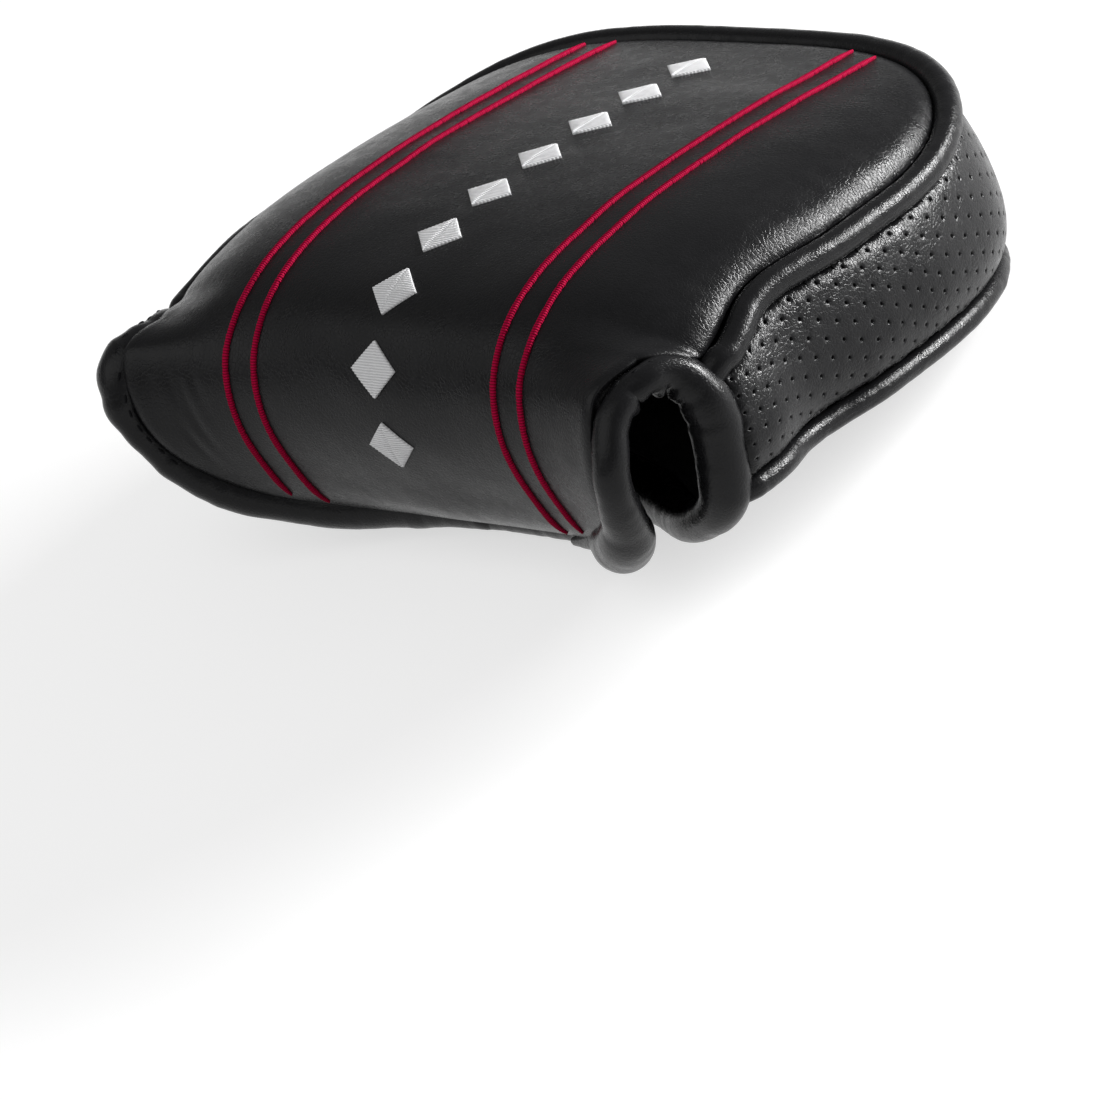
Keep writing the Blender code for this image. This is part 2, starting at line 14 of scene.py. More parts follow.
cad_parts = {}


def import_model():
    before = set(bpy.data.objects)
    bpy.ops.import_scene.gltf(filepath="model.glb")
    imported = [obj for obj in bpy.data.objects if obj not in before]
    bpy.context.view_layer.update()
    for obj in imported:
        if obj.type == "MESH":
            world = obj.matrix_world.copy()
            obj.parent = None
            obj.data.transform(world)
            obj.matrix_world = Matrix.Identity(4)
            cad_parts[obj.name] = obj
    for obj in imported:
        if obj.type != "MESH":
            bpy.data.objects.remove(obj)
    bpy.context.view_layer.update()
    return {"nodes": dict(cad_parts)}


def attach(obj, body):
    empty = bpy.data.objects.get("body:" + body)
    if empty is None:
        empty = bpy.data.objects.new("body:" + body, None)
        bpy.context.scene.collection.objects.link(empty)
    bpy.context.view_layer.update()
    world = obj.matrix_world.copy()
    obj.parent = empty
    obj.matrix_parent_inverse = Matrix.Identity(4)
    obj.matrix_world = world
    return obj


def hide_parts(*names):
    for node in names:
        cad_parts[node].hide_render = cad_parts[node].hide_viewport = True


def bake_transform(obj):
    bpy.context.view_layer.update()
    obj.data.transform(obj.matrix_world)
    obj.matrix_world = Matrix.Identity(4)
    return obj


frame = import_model()
scene = bpy.context.scene

# Sewing pattern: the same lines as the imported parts
CENTRE_POINTS = np.array([
    (0.0783, -0.0020), (0.0180, 0.0010), (-0.0090, -0.0018), (-0.0225, -0.0083), (-0.0263, -0.0149),
    (-0.0267, -0.0256), (-0.0229, -0.0355), (-0.0195, -0.0414), (-0.0098, -0.0484)])
BACK_Y = 0.0783
HINGE_Y = -0.0225
HALF_WIDTH = 0.0568
SIDE_Y = 0.0300
CORNER_POWER = 2.9
WAIST = 0.0017
WAIST_SKEW = 1.6
ARCH_HALF_WIDTH = 0.0488
ARCH_BACK_Y = -0.0125
EDGE_DROPS = 0.0092, 0.0104, 0.0114, 0.0112, 0.0029, -0.0088, -0.0106, -0.0112, -0.0045
TOP_CROWN_POWER = 5.0
FRONT_CROWN_POWER = 3.4
TONGUE_LENGTH = 0.0440
TONGUE_POWER = 2.4
FRONT_LEG_SHARE = 0.22
FRONT_CUFF_KNOTS = 8
WALL_FRONT_Y = -0.0102
LOWER_Z = -0.0357
SIDE_FLARE = 0.0010
BACK_FLARE = 0.0050
RIPPLE = 0.0007
RIPPLES = ((-0.002, 0.006, 1.0), (0.012, 0.008, -1.2))
WALL_BULGE = 0.0040
BULGE_HEIGHT = 0.40
CUFF_RADIUS = 0.0040
ARCH_RADIUS = 0.0026
ARCH_SINK = 0.0022
SIDE_SINK = 0.0024
LIP_SINK = 0.0014
LEG_TOP_DROP = 0.0065
LEG_INSET = 0.0012
LEG_TAPER = 0.0014
NUB_X = 0.0465
NUB_Y = -0.0120
NUB_DROP = 0.0072
BOW_SHARE = 0.75
MOUTH_WIDTH = 0.0095
REAR_LIP_DROP = 0.0112
FLOOR_CUT = 0.0005
GAP = 0.0003
PIPING_RADIUS = 0.0017
PIPING_SINK = 0.0010
STRIPE_X = {"inner": 0.0250, "outer": 0.0306}
STRIPE_WIDTH = 0.0012
STRIPE_MARGIN = 0.0030
DIAMOND_SIZE = 0.0090
DIAMOND_PITCH = 0.0130
DIAMONDS_ON_TOP = 7
DIAMONDS_ON_FLAP = 2
REST_LOCATION = np.array((0.0, -0.01988868, 0.05113341))
SAMPLES = 1500

# Shared by the soft pieces: cells and heights of their unevenness, padding from the seam inwards, and lining
SWELL = (0.012, 0.00016), (0.005, 0.00005)
SWELL_FADE = 0.004
PILE = (0.0022, 0.00022), (0.0009, 0.00010)
PANEL_SEED = 3
PAD_EDGE = 0.0008
PAD_RISE = 0.0030
PAD_FADE = 0.006
LINING_GAP = 0.0002
LINING_BACK = 0.0012
EDGE_FULLNESS = 0.98
BATCH = 2000


def shares(count):
    return np.linspace(0, 1, count)


def span_of(at, knots):
    """Index of the span between knots in which each value lies."""
    return np.clip(np.searchsorted(knots, at, side="right") - 1, 0, len(knots) - 2)


def natural_spline(points):
    """Even points on the smooth curve through the given ones."""
    points = np.asarray(points, float)
    spans = np.linalg.norm(np.diff(points, axis=0), axis=1)
    knots = np.concatenate([[0.0], np.cumsum(spans)])
    count = len(points)
    matrix = np.eye(count)
    right = np.zeros_like(points)
    slopes = np.diff(points, axis=0) / spans[:, None]
    for i in range(1, count - 1):
        matrix[i, i - 1:i + 2] = spans[i - 1], 2 * (spans[i - 1] + spans[i]), spans[i]
        right[i] = 6 * (slopes[i] - slopes[i - 1])
    bend = np.linalg.solve(matrix, right)
    at = np.linspace(0, knots[-1], SAMPLES)
    k = span_of(at, knots)
    span = spans[k][:, None]
    ahead = (knots[k + 1] - at)[:, None]
    behind = (at - knots[k])[:, None]
    curved = (bend[k] * ahead ** 3 + bend[k + 1] * behind ** 3) / (6 * span)
    first = (points[k] / span - bend[k] * span / 6) * ahead
    last = (points[k + 1] / span - bend[k + 1] * span / 6) * behind
    return curved + first + last


def lengths(path):
    return np.concatenate([[0.0], np.cumsum(np.linalg.norm(np.diff(path, axis=0), axis=1))])


def along(path, share):
    run = lengths(path[:, :3])
    at = np.asarray(share) * run[-1]
    return np.stack([np.interp(at, run, path[:, i]) for i in range(path.shape[1])], -1)


def unit(vectors):
    return vectors / np.linalg.norm(vectors, axis=-1, keepdims=True)


def smooth(share):
    share = np.clip(share, 0, 1)
    return share * share * (3 - 2 * share)


def eased(at, knots, values):
    knots, values = np.asarray(knots), np.asarray(values)
    k = span_of(at, knots)
    return values[k] + (values[k + 1] - values[k]) * smooth((at - knots[k]) / (knots[k + 1] - knots[k]))


def from_table(at, pairs):
    """Eased value in metres at a length in metres, from pairs of both in millimetres."""
    return eased(at * 1000, *zip(*pairs)) / 1000


def flowing(at, knots, values):
    """Smooth curve through the values that keeps rising or falling between them."""
    knots, values = np.asarray(knots), np.asarray(values)
    spans = np.diff(knots)
    steps = np.diff(values) / spans
    slopes = np.zeros(len(knots))
    agree = steps[1:] * steps[:-1] > 0
    slopes[1:-1][agree] = 2 / (1 / steps[1:][agree] + 1 / steps[:-1][agree])
    at = np.clip(at, knots[0], knots[-1])
    k = span_of(at, knots)
    share = (at - knots[k]) / spans[k]
    rest = 1 - share
    return (values[k] * (1 + 2 * share) * rest ** 2 + slopes[k] * spans[k] * share * rest ** 2
            + values[k + 1] * (3 - 2 * share) * share ** 2 - slopes[k + 1] * spans[k] * rest * share ** 2)


def mirrored(path):
    other = np.array(path)
    other[:, :6:3] *= -1
    return other


def both_sides(path):
    return np.concatenate([path, mirrored(path)[-2::-1]])


CENTRE = natural_spline(CENTRE_POINTS)
CENTRE = np.concatenate([CENTRE, CENTRE[-1:] + unit(CENTRE[-1:] - CENTRE[-2:-1]) * TONGUE_LENGTH])
TANGENT = unit(np.gradient(CENTRE, axis=0))
NEAREST = [int(np.argmin(np.linalg.norm(CENTRE - point, axis=1))) for point in CENTRE_POINTS]
RUN = lengths(CENTRE) - lengths(CENTRE)[NEAREST[3]]
BACK_RUN, CREST_RUN, SHOULDER_RUN, HINGE_RUN, BROW_RUN, NOSE_RUN, CHIN_RUN, JAW_RUN, LIP_RUN = RUN[NEAREST]
DROP_KNOTS = (
    BACK_RUN, CREST_RUN, SHOULDER_RUN, SHOULDER_RUN / 2, HINGE_RUN, BROW_RUN, NOSE_RUN, CHIN_RUN, LIP_RUN)


def surface(x, run):
    """Outer skin at x across and run along the centre line, measured from the hinge down the front."""
    y, z, tangent_y, tangent_z = (np.interp(run, RUN, values) for values in (*CENTRE.T, *TANGENT.T))
    power = eased(run, (SHOULDER_RUN, BROW_RUN), (TOP_CROWN_POWER, FRONT_CROWN_POWER))
    drop = flowing(run, DROP_KNOTS, EDGE_DROPS) * np.abs(x / HALF_WIDTH) ** power
    return np.stack([x, y - tangent_z * drop, z + tangent_y * drop], -1)


def skin_normal(x, run):
    across = surface(x + GAP, run) - surface(x - GAP, run)
    back = surface(x, run - GAP) - surface(x, run + GAP)
    return unit(np.cross(across, back))


def skin(x, run, depth=0.0):
    """Points at a depth below the outer skin, square to it."""
    depth = np.broadcast_to(depth, np.shape(x))
    return surface(x, run) - skin_normal(x, run) * depth[..., None]


def run_of_y(y):
    top = RUN <= 0
    return np.interp(-y, -CENTRE[top, 0], RUN[top])


def plan_normals(path):
    tangent = unit(np.gradient(path[:, :2], axis=0))
    return np.stack([tangent[:, 1], -tangent[:, 0]], -1)


def rounded(width, length, power):
    """Quarter of a rounded form in plan, from its side to the middle of its end."""
    angle = np.linspace(0, pi / 2, SAMPLES)
    return np.stack([width * np.cos(angle).clip(0) ** (2 / power), length * np.sin(angle) ** (2 / power)], -1)


def outline(inset=0.0, overlap=0.0):
    """Right half of the top panel's edge in plan, from the hinge line to the middle of the back."""
    y = np.linspace(HINGE_Y, SIDE_Y, SAMPLES)
    pinch = np.clip((SIDE_Y - y) / (SIDE_Y - ARCH_BACK_Y), 0, 1)
    taper = np.clip((ARCH_BACK_Y - y) / (ARCH_BACK_Y - HINGE_Y), 0, 1)
    side = HALF_WIDTH - WAIST * np.sin(pi * pinch ** WAIST_SKEW) ** 2
    side -= (HALF_WIDTH - ARCH_HALF_WIDTH) * taper ** 2
    corner = rounded(HALF_WIDTH, BACK_Y - SIDE_Y, CORNER_POWER)[1:] + (0.0, SIDE_Y)
    path = along(np.concatenate([np.stack([side, y], -1), corner]), shares(SAMPLES))
    share = smooth((path[:, 1] - HINGE_Y) / (ARCH_BACK_Y - HINGE_Y))
    path -= plan_normals(path) * (inset * share)[:, None]
    path[:, 0] += overlap * (1 - share)
    path[-1, 0] = 0.0
    return path


def tongue(outset=0.0):
    """Right half of the front panel's edge in x and run, from the hinge line to the middle of the lip."""
    path = along(rounded(ARCH_HALF_WIDTH, TONGUE_LENGTH, TONGUE_POWER), shares(SAMPLES))
    path += plan_normals(path) * outset
    path[-1, 0] = 0.0
    return path


def coons(u, v, south, east, north):
    """Patch of points between two lines and the same side at the right and left."""
    right, up = u[..., None], v[..., None]
    ruled = (1 - up) * along(south, u) + up * along(north, u)
    sides = (1 - right) * along(mirrored(east), v) + right * along(east, v)
    low = (1 - right) * south[0] + right * south[-1]
    high = (1 - right) * north[0] + right * north[-1]
    return ruled + sides - (1 - up) * low - up * high


def at_corner(path, share):
    path = along(path, shares(SAMPLES))
    cut = int(share * SAMPLES)
    return path[:cut + 1], both_sides(path[cut:])[::-1]


# Side wall's edges, the loop of the cuff and the plane that the cover rests on
edge_plan = outline()
PIPED_EDGE = skin(edge_plan[:, 0], run_of_y(edge_plan[:, 1]), PIPING_SINK)


def wall_edges(front_y):
    """Upper and lower edge of the side wall from one front end round to the other, and its normals."""
    upper = both_sides(PIPED_EDGE[PIPED_EDGE[:, 1] >= front_y])
    normal = np.column_stack([plan_normals(upper), np.zeros(len(upper))])
    flare = SIDE_FLARE + (BACK_FLARE - SIDE_FLARE) * normal[:, 1] ** 2
    ripple = sum(height * np.exp(-((upper[:, 1] - at) / width) ** 2) for at, width, height in RIPPLES)
    lower = upper + normal * (flare + RIPPLE * ripple)[:, None]
    lower[:, 2] = LOWER_Z
    return upper, lower, normal


UPPER_EDGE, LOWER_EDGE, WALL_NORMAL = wall_edges(WALL_FRONT_Y)


def cuff_line(outset):
    edge = tongue(outset)
    sink = eased(edge[:, 1], (NOSE_RUN, JAW_RUN), (SIDE_SINK, LIP_SINK))
    return skin(edge[:, 0], edge[:, 1], sink)


front_half = np.hstack([cuff_line(CUFF_RADIUS + GAP), cuff_line(GAP)])
REAR_LIP_Y = front_half[-1, 1] + 2 * CUFF_RADIUS + MOUTH_WIDTH
lip_z = LOWER_Z - REAR_LIP_DROP
FLOOR_Z = lip_z - CUFF_RADIUS + FLOOR_CUT
FLOOR_SLOPE = (LOWER_Z - PIPING_RADIUS - FLOOR_Z) / (LOWER_EDGE[:, 1].max() - REAR_LIP_Y)
arch_edge = skin(np.array([ARCH_HALF_WIDTH]), np.array([0.0]))[0]
ARCH_TOP = arch_edge + (ARCH_RADIUS + GAP, 0.0, -ARCH_SINK)
leg_x = HALF_WIDTH - LEG_INSET
leg_y = WALL_FRONT_Y - CUFF_RADIUS - GAP
leg_top_z = UPPER_EDGE[0, 2] - LEG_TOP_DROP
bow_y = NUB_Y + (REAR_LIP_Y - NUB_Y) * BOW_SHARE
bow_z = lip_z + (bow_y - REAR_LIP_Y) * FLOOR_SLOPE
rear_half = np.array([
    (leg_x, leg_y, leg_top_z), (leg_x, leg_y, (leg_top_z + LOWER_Z) / 2), (leg_x - LEG_TAPER, leg_y, LOWER_Z),
    (NUB_X, NUB_Y, LOWER_Z - NUB_DROP), (NUB_X / 2, bow_y, bow_z), (0.0, REAR_LIP_Y, lip_z)])
rear_half = np.hstack([rear_half, rear_half + (0.0, CUFF_RADIUS, 0.0)])
front_half = along(front_half, np.linspace(1.0, FRONT_LEG_SHARE, FRONT_CUFF_KNOTS))
knots = np.vstack([front_half, np.concatenate([ARCH_TOP, arch_edge]), rear_half])
radii = np.full(len(knots), CUFF_RADIUS)
radii[FRONT_CUFF_KNOTS] = ARCH_RADIUS
knots = np.column_stack([knots, radii])
cuff_half = natural_spline(np.vstack([mirrored(knots[2:0:-1]), knots, mirrored(knots[-2:-4:-1])]))
cuff_half = cuff_half[cuff_half[:, 0] >= 0]
cuff_half[[0, -1], :6:3] = 0.0

TURN = np.array(Matrix.Rotation(-atan(FLOOR_SLOPE), 3, "X"))


def world(points):
    return points @ TURN.T + REST_LOCATION


def hash_noise(points, seed):
    """Smooth repeatable noise from -1 to 1 at points of two or three coordinates, one unit a cell."""
    points = np.asarray(points, float)
    cell = np.floor(points).astype(np.int64)
    share = smooth(points - cell)
    total = np.zeros(points.shape[:-1])
    axes = points.shape[-1]
    for corner in range(2 ** axes):
        bits = np.array([(corner >> i) & 1 for i in range(axes)])
        at = cell + bits
        mixed = np.full(at.shape[:-1], seed * 7919, np.int64)
        for i, prime in zip(range(axes), (73856093, 19349663, 83492791)):
            mixed = (mixed ^ (at[..., i] * prime)) * 6364136223846793005 % (1 << 31)
        value = ((mixed ^ (mixed >> 13)) % 65536) / 32767.5 - 1
        total += value * np.prod(np.where(bits, share, 1 - share), axis=-1)
    return total


def layered(points, layers, seed):
    """Sum of noises with their own cells and heights, each from the next seed."""
    return sum(hash_noise(points / cell, seed + i) * height for i, (cell, height) in enumerate(layers))


# Materials
NOISE_RANGE = 0.3, 0.7
LEATHER_TONES = (0.0060, 0.0060, 0.0066), (0.0100, 0.0100, 0.0108)
GRAIN_HEIGHT = 0.00006
FOLD_HEIGHT = 0.00008
PILE_HEIGHT = 0.0006
STRAND_HEIGHT = 0.00008


def fed(tree, made, **values):
    """The node with its settings and inputs; a value that is a socket of another node is linked."""
    for name, value in values.items():
        if hasattr(made, name):
            setattr(made, name, value)
            continue
        socket = made.inputs[name.replace("_", " ")]
        if isinstance(value, bpy.types.NodeSocket):
            tree.links.new(value, socket)
        else:
            socket.default_value = value
    return made


def node(tree, kind, **values):
    return fed(tree, tree.nodes.new(kind), **values)


def paired(tree, kind, first, second, **values):
    """Output of a node that joins two sockets."""
    made = node(tree, kind, **values)
    tree.links.new(first, made.inputs[0])
    tree.links.new(second, made.inputs[1])
    return made.outputs[0]


def noise(tree, place, **values):
    return node(tree, "ShaderNodeTexNoise", Vector=place, **values).outputs


def cell_edges(tree, place, scale):
    cells = node(tree, "ShaderNodeTexVoronoi", feature="DISTANCE_TO_EDGE", Vector=place, Scale=scale)
    return cells.outputs["Distance"]


def ramp(tree, source, low, high, start, end):
    """Source mapped from low..high to start..end."""
    made = node(tree, "ShaderNodeMapRange", clamp=True, Value=source,
                From_Min=low, From_Max=high, To_Min=start, To_Max=end)
    return made.outputs["Result"]


def bump(tree, height, strength, distance, **below):
    made = node(tree, "ShaderNodeBump", Strength=strength, Distance=distance, Height=height, **below)
    return made.outputs["Normal"]


def coloured(tree, tone, dark, light, shine, low, high, **more):
    """Shader with its colour between two by tone, and its roughness between two by shine."""
    mix = node(tree, "ShaderNodeMix", data_type="RGBA", Factor=tone, A=(*dark, 1.0), B=(*light, 1.0))
    return fed(tree, tree.nodes["Principled BSDF"], Base_Color=mix.outputs["Result"],
               Roughness=ramp(tree, shine, *NOISE_RANGE, low, high), **more)


def seen(tree):
    """One where the camera, a mirroring or a clear surface looks, and zero for other light."""
    kinds = node(tree, "ShaderNodeLightPath").outputs
    found = kinds["Is Camera Ray"]
    for name in ("Is Glossy Ray", "Is Transmission Ray"):
        found = paired(tree, "ShaderNodeMath", found, kinds[name], operation="MAXIMUM")
    return found


def blank(name):
    material = bpy.data.materials.new(name)
    material.use_nodes = True
    return material, material.node_tree


def cloth_base(name):
    """Material and its tree, with the cloth coordinates in millimetres."""
    material, tree = blank(name)
    place = node(tree, "ShaderNodeAttribute", attribute_name="cloth").outputs["Vector"]
    scaled = node(tree, "ShaderNodeVectorMath", operation="SCALE", Vector=place, Scale=1000.0)
    return material, tree, scaled.outputs[0]


def leather(name, dark, light, rough, grain, crease):
    """Grained synthetic leather: pebble grain, finer pores, and creases in patches."""
    material, tree, place = cloth_base(name)
    warp = noise(tree, place, Scale=0.6, Detail=2.0)["Color"]
    shift = node(tree, "ShaderNodeVectorMath", operation="SCALE", Vector=warp, Scale=0.9).outputs[0]
    warped = paired(tree, "ShaderNodeVectorMath", place, shift, operation="ADD")
    stretched = node(tree, "ShaderNodeMapping", Vector=warped, Scale=(0.7, 1.3, 1.0)).outputs[0]
    pebbles = ramp(tree, cell_edges(tree, warped, 1.5), 0.0, 0.16, 0.0, 1.0)
    folds = ramp(tree, cell_edges(tree, stretched, 0.34), 0.0, 0.10, 0.0, 1.0)
    patches = ramp(tree, noise(tree, place, Scale=0.11, Detail=2.0)["Fac"], 0.45, 0.65, 0.0, crease)
    fold_depth = paired(tree, "ShaderNodeMath", folds, patches, operation="MULTIPLY")
    pores = noise(tree, place, Scale=5.0, Detail=3.0)["Fac"]
    normal = bump(tree, pores, 0.25 * grain, GRAIN_HEIGHT)
    normal = bump(tree, pebbles, 0.45 * grain, GRAIN_HEIGHT, Normal=normal)
    normal = bump(tree, fold_depth, 0.45, FOLD_HEIGHT, Normal=normal)
    tone = noise(tree, place, Scale=0.05, Detail=4.0)["Fac"]
    shine = noise(tree, place, Scale=0.4, Detail=5.0)["Fac"]
    shader = coloured(tree, tone, dark, light, shine, rough - 0.05, rough + 0.07, Normal=normal)
    shader.inputs["Specular IOR Level"].default_value = 0.17
    return material


def fleece(name, dark, light):
    """Short brushed pile."""
    material, tree, place = cloth_base(name)
    pile = noise(tree, place, Scale=2.2, Detail=5.0, Roughness=0.7)["Fac"]
    normal = bump(tree, pile, 0.8, PILE_HEIGHT)
    shader = coloured(tree, pile, dark, light, pile, 0.85, 1.0, Normal=normal)
    shader.inputs["Sheen Weight"].default_value = 0.25
    shader.inputs["Sheen Roughness"].default_value = 0.5
    return material


def thread(name, dark, light, rough, twist):
    """Satin-stitched thread: fine strands across the stitch, with painted shade in the grooves between them,
    and a shine that changes along it.
    """
    material, tree, place = cloth_base(name)
    strands = node(tree, "ShaderNodeTexWave", wave_type="BANDS", bands_direction="Y", Vector=place,
                   Scale=twist, Distortion=1.2, Detail=2.0).outputs["Fac"]
    shine = noise(tree, place, Scale=2.5, Detail=3.0)["Fac"]
    normal = bump(tree, strands, 0.5, STRAND_HEIGHT)
    # Colour follows the strands' height: darker in the grooves between them as painted shade, lighter on
    # their crowns
    shader = coloured(tree, strands, dark, light, shine, rough - 0.08, rough + 0.08, Normal=normal)
    shader.inputs["Specular IOR Level"].default_value = 0.06
    return material


def plated(name):
    """Nickel plate with fine turning marks."""
    material, tree = blank(name)
    marks = noise(tree, node(tree, "ShaderNodeTexCoord").outputs["Object"], Scale=900.0, Detail=4.0)["Fac"]
    shader = coloured(tree, marks, (0.52, 0.51, 0.49), (0.66, 0.65, 0.62), marks, 0.22, 0.38)
    shader.inputs["Metallic"].default_value = 1.0
    return material


PANEL = leather("panel_leather", *LEATHER_TONES, rough=0.27, grain=0.75, crease=0.25)
WALL = leather("wall_leather", *LEATHER_TONES, rough=0.25, grain=0.8, crease=1.0)
ROLL = leather("roll_leather", *LEATHER_TONES, rough=0.25, grain=0.6, crease=0.4)
LINING = fleece("lining_fleece", (0.010, 0.010, 0.011), (0.030, 0.030, 0.032))
# Each thread's first colour is its tone in the grooves between strands, darkened as painted shade
RED = thread("stripe_thread", (0.18, 0.0002, 0.014), (0.48, 0.0008, 0.050), rough=0.65, twist=0.75)
WHITE = thread("diamond_thread", (0.58, 0.58, 0.59), (0.84, 0.84, 0.85), rough=0.50, twist=0.75)
BLACK = thread("seam_thread", (0.004, 0.004, 0.005), (0.010, 0.010, 0.011), rough=0.60, twist=3.0)
NICKEL = plated("magnet_nickel")


# Meshes
def quads(rows, columns, wrap=False):
    """Faces of a grid of points; wrap joins its last column to its first."""
    r = np.arange(rows - 1)[:, None]
    c = np.arange(columns if wrap else columns - 1)[None, :]
    a = r * columns + c
    b = r * columns + (c + 1) % columns
    return np.stack([a, b, b + columns, a + columns], -1).reshape(-1, 4)


def placed(name, data, axes=np.eye(3), place=(0, 0, 0)):
    """New object in the scene, with the given columns of directions, at a place."""
    made = bpy.data.objects.new(name, data)
    scene.collection.objects.link(made)
    made.matrix_world = Matrix([(*row, position) for row, position in zip(axes, place)] + [(0, 0, 0, 1)])
    return made


def piece(name, points, faces, cloth, material):
    """New object from sewing-frame points, with the cloth coordinates that its material reads."""
    mesh = bpy.data.meshes.new(name)
    points = world(points.reshape(-1, 3))
    mesh.from_pydata(points.tolist(), [], faces)
    mesh.update()
    bm = bmesh.new()
    bm.from_mesh(mesh)
    bmesh.ops.recalc_face_normals(bm, faces=bm.faces)
    bm.to_mesh(mesh)
    bm.free()
    flat = np.zeros((len(points), 3))
    flat[:, :2] = cloth.reshape(-1, 2)
    mesh.attributes.new("cloth", "FLOAT_VECTOR", "POINT").data.foreach_set("vector", flat.ravel())
    mesh.shade_smooth()
    mesh.materials.append(material)
    made = placed(name, mesh)
    return made


def layer(name, outer, inner, cloth, material):
    """Closed piece between two grids of points of the same size."""
    rows, columns = outer.shape[:2]
    count = rows * columns
    face = quads(rows, columns)
    index = np.arange(count).reshape(rows, columns)
    ring = np.concatenate([index[0, :-1], index[:-1, -1], index[-1, :0:-1], index[:0:-1, 0]])
    after = np.roll(ring, -1)
    rim = np.stack([ring, ring + count, after + count, after], -1)
    faces = np.concatenate([face, face[:, ::-1] + count, rim])
    return piece(name, np.stack([outer, inner]), faces.tolist(), np.stack([cloth, cloth]), material)


def bends(made):
    """Bakes the piece's placement into its points; the hinge point is worked out but not used, and no bend is
    set.
    """
    hinge = world(skin(np.array([0.0]), np.array([0.0])))[0]
    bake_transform(made)


def bends_by_run(made):
    """Bakes a layer's placement into its points, through bends."""
    bends(made)


def crowded(share, start, end):
    """Shares moved towards 0 and 1 by the given amounts, so that edges have narrower cells."""
    both = share - start * np.sin(pi * share) / pi * (1 - share)
    return both + end * np.sin(pi * share) / pi * share


def distance_to(path, points):
    """Distance of each point from the nearest place on a path."""
    flat = points.reshape(-1, points.shape[-1])
    found = np.empty(len(flat))
    for start in range(0, len(flat), BATCH):
        some = flat[start:start + BATCH]
        away = np.linalg.norm(some[:, None] - path[None], axis=-1)
        found[start:start + BATCH] = away.min(1)
    return found.reshape(points.shape[:-1])


def rolled(away, width, depth):
    """Depth of a padded edge that rolls down into its seam."""
    share = np.clip(1 - away / width, 0, 1)
    return depth * (1 - np.sqrt(1 - share ** 2 * EDGE_FULLNESS))


def padding(away):
    """Thickness of leather and foam at a distance from the seam."""
    return PAD_EDGE + PAD_RISE * smooth(away / PAD_FADE)


# Top and front: one padded panel that folds at the brow
COLUMNS = 161
TOP_ROWS = 150
FRONT_ROWS = 100
TOP_CORNER = 0.66
FRONT_CORNER = 0.55
CROWDING = 0.85
SEAM_INSET = PIPING_RADIUS + GAP
CUFF_OVERLAP = 0.0010
CUFFED_POINTS = 90
CUFF_EDGE_POINTS = 700
PIPED_EDGE_POINTS = 900
PANEL_CUFF_ROLL = 0.0020, 0.0007
PANEL_PIPING_ROLL = 0.0042, 0.0019
TOE_EDGE_LEAN = ((-90, 0.0), (0, 0.0), (7, 2.6), (30, 2.6), (42, 1.6), (60, 0.0))
TOE_LEAN_X = 0.033
TOE_LEAN_WIDTH = 0.0158
HEEL_SAG = 0.0014
HEEL_SAG_X = 0.036
HEEL_SAG_WIDTH = 0.012
HEEL_SAG_RUN = -0.001
HEEL_SAG_LENGTH = 0.005
CREASES = ((-0.0372, 0.0105), (-0.0392, 0.0135), (-0.0412, 0.0120), (-0.0384, 0.0180), (-0.0404, 0.0205))
CREASE_WIDTH = 0.0008
CREASE_LENGTH = 0.0042
CREASE_DEPTH = 0.00016
CREASE_SLANT = 0.25
LINING_SHARE = 0.985


def panel_edge(inset):
    """Right half of the panel's edge in x and run: from the hinge to the lip, and to the back's middle."""
    top = outline(inset, CUFF_OVERLAP)
    top = np.stack([top[:, 0], np.minimum(run_of_y(top[:, 1]), 0.0)], -1)
    return tongue(CUFF_OVERLAP), top


def panel_grid(front, top):
    """Grid of x and run over the whole panel, lip first."""
    side, back = at_corner(top, TOP_CORNER)
    flank, lip = at_corner(front, FRONT_CORNER)
    hinge_line = np.concatenate([mirrored(side[:1]), side[:1]])
    across = crowded(shares(COLUMNS), CROWDING, CROWDING)
    up_front = crowded(shares(FRONT_ROWS), CROWDING, 0.0)
    up_top = crowded(shares(TOP_ROWS), 0.0, CROWDING)
    lower = coons(*np.meshgrid(across, up_front), lip, flank[::-1], hinge_line)
    upper = coons(*np.meshgrid(across, up_top), hinge_line, side, back)
    return np.concatenate([lower, upper[1:]])


front_edge, top_edge = panel_edge(SEAM_INSET)
grid = panel_grid(front_edge, top_edge)
run = grid[..., 1]
x = grid[..., 0] - from_table(run, TOE_EDGE_LEAN) * smooth((grid[..., 0] - TOE_LEAN_X) / TOE_LEAN_WIDTH)
cuff_edge = both_sides(np.concatenate([top_edge[:CUFFED_POINTS][::-1], front_edge]))
from_cuff = distance_to(along(cuff_edge, shares(CUFF_EDGE_POINTS)), grid)
piped_edge = both_sides(top_edge[CUFFED_POINTS:])
from_piping = distance_to(along(piped_edge, shares(PIPED_EDGE_POINTS)), grid)
from_edge = np.minimum(from_cuff, from_piping)
swell = layered(grid, SWELL, PANEL_SEED)
depth = np.maximum(rolled(from_cuff, *PANEL_CUFF_ROLL), rolled(from_piping, *PANEL_PIPING_ROLL))
depth = depth - swell * smooth(from_edge / SWELL_FADE)
for crease_x, crease_run in CREASES:
    along_it = run - crease_run
    beside = grid[..., 0] - crease_x - CREASE_SLANT * along_it
    depth += CREASE_DEPTH * np.exp(-(beside / CREASE_WIDTH) ** 2 - (along_it / CREASE_LENGTH) ** 2)
below = depth + padding(from_edge)
sag = np.zeros_like(skin(x, run))
sag[..., 2] = -HEEL_SAG * smooth((-x - HEEL_SAG_X) / HEEL_SAG_WIDTH)
sag[..., 2] *= np.exp(-((run - HEEL_SAG_RUN) / HEEL_SAG_LENGTH) ** 2)
outer, inner = skin(x, run, depth) + sag, skin(x, run, below) + sag
cover = layer("cover_panel", outer, inner, grid, PANEL)
bends_by_run(cover)
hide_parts("top_panel", "top_foam", "front_panel", "front_foam")

